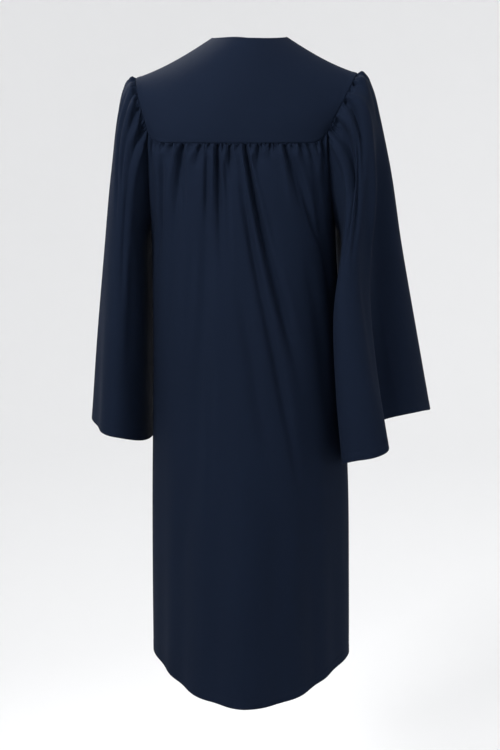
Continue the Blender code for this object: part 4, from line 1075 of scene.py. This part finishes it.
def make_slider():
    def slider_shape(p):
        return Vector((p.x * (1 - 0.30 * max(0.0, (p.y - 4) / 8) ** 2), p.y, p.z))

    def slider_filled(i, j, k):
        return k == 0 or (i == 1 and (k == 2 and 1 <= j <= 3 or k == 1 and j in (1, 3)))

    us, vs, ws = (-4.2, -0.8, 0.8, 4.2), (1.2, 2.6, 3.8, 7.8, 9.0, 12.2), (-1.0, 1.5, 3.5, 4.3)
    blocks("zip_slider_body", us, vs, ws, slider_filled, slider_shape, 0.0004, "gown", "zip_slider")

    def pull_shape(p):
        return Vector((p.x * (1 - 0.45 * max(0.0, (p.y - 21) / 5) ** 2), p.y, p.z))

    def pull_filled(i, j, k):
        return not (i == 1 and j == 1)

    us, vs = (-3.0, -1.4, 1.4, 3.0), (4.4, 5.6, 9.8, 21.0, 23.5, 26.0)
    blocks("zip_pull_tab", us, vs, (1.9, 3.1), pull_filled, pull_shape, 0.00035, "pull_tab", "zip_pull")


def make_floor():
    """A pale round floor that curves up into a wall far behind the gown on every side."""
    profile = [(0.0, FLOOR), (WALL_AWAY - WALL_BEND, FLOOR)]
    for step in range(1, 13):
        turn = math.pi / 2 * step / 12
        profile.append((WALL_AWAY - WALL_BEND * (1 - math.sin(turn)), FLOOR + WALL_BEND * (1 - math.cos(turn))))
    profile.append((WALL_AWAY, WALL_TOP))
    turns = np.linspace(0, 2 * math.pi, 73)
    reach, height = np.array(profile).T
    points = vector(reach[:, None] * np.sin(turns), reach[:, None] * np.cos(turns), height[:, None])
    at = np.arange(points.shape[0] * points.shape[1]).reshape(points.shape[:2])
    quads = np.stack([at[:-1, :-1], at[:-1, 1:], at[1:, 1:], at[1:, :-1]], axis=-1).reshape(-1, 4)
    floor = linked("floor", points.reshape(-1, 3), quads.tolist())
    material = bpy.data.materials.new("pale_floor")
    material.use_nodes = True
    material.node_tree.nodes["Principled BSDF"].inputs["Base Color"].default_value = (0.90, 0.90, 0.90, 1)
    material.node_tree.nodes["Principled BSDF"].inputs["Roughness"].default_value = 0.95
    material.node_tree.nodes["Principled BSDF"].inputs["Specular IOR Level"].default_value = 0.1
    floor.data.materials.append(material)


def make_light(name, place, size, power, aim=(0, 0, -0.6), spread=180):
    light = bpy.data.lights.new(name, "AREA")
    light.size = size
    light.spread = math.radians(spread)
    light.energy = power
    obj = bpy.data.objects.new(name, light)
    bpy.context.scene.collection.objects.link(obj)
    obj.location = place
    obj.rotation_euler = (Vector(aim) - Vector(place)).to_track_quat("-Z", "Y").to_euler()


def make_studio():
    scene = bpy.context.scene
    scene.view_settings.view_transform = "Standard"
    world = bpy.data.worlds.new("studio")
    scene.world = world
    world.use_nodes = True
    world.node_tree.nodes["Background"].inputs["Color"].default_value = (0.98, 0.985, 1.0, 1)
    world.node_tree.nodes["Background"].inputs["Strength"].default_value = WORLD_LIGHT
    make_light("key", (1.4, 1.8, 1.5), 0.7, 17.5, (0, 0, -0.12), 84)
    make_light("front_key", (1.4, -1.8, 1.5), 0.8, 16.5, (0, 0, -0.12), 84)


def make_camera():
    azimuth = math.radians(CAMERA_AZIMUTH)
    eye = Vector((math.sin(azimuth) * CAMERA_AWAY, -math.cos(azimuth) * CAMERA_AWAY, CAMERA_HEIGHT))
    camera = bpy.data.objects.new("camera", bpy.data.cameras.new("camera"))
    bpy.context.scene.collection.objects.link(camera)
    bpy.context.scene.camera = camera
    camera.data.sensor_fit = "VERTICAL"
    camera.data.sensor_height = 36
    camera.data.lens = 36 * FOCAL_PIXELS / PICTURE_HEIGHT
    camera.location = eye
    camera.rotation_euler = (Vector((0, 0, TARGET_HEIGHT)) - eye).to_track_quat("-Z", "Y").to_euler()


CLOTH = 0.0007
CLOTH_LAYER = 0.0007
TAPE_SHARE = 0.05
TOOTH_PITCH = 0.00150
FLOOR = -1.95
WALL_AWAY = 7.0
WALL_BEND = 2.6
WALL_TOP = 3.2
WORLD_LIGHT = 1.0
CAMERA_AZIMUTH = 184.0
CAMERA_AWAY = 2.6
CAMERA_HEIGHT = -0.15
TARGET_HEIGHT = -0.668
FOCAL_PIXELS = 1289
PICTURE_HEIGHT = 750
NECK_AND_SHOULDER = Edge(0.0012, 0.0006, 0.0004, 0.0050, True)
PANEL_DOWNS = graded(
    SIDE_LENGTH - YOKE_DROP, (0.004, 0.0008), (0.036, 0.002), (0.16, 0.004), (None, 0.009), (0.026, 0.0016), (0.0032, 0.0008)
)
navy = woven_material("navy_cloth_weave", (0.0058, 0.0097, 0.0207))
thread = plain_material("navy_thread", (0.0054, 0.0091, 0.0194), 0.85, grain=4000.0, specular=0.04)
tape_cloth = woven_material("zip_tape_weave", (0.0065, 0.0100, 0.0205), pitch=0.0009, sheen=0.01, roughness=0.75, strength=0.8)
teeth_plastic = plain_material("zip_teeth_coil", (0.0085, 0.0120, 0.0235), 0.38)
metal = plain_material("zip_painted_metal", (0.016, 0.021, 0.034), 0.35, metallic=0.5)
make_camera()
make_back()
for wearer_side in (1, -1):
    make_front(wearer_side)
    make_front_yoke(wearer_side)
    make_sleeve(wearer_side)
make_yoke()
make_zip()
make_slider()
make_floor()
make_studio()
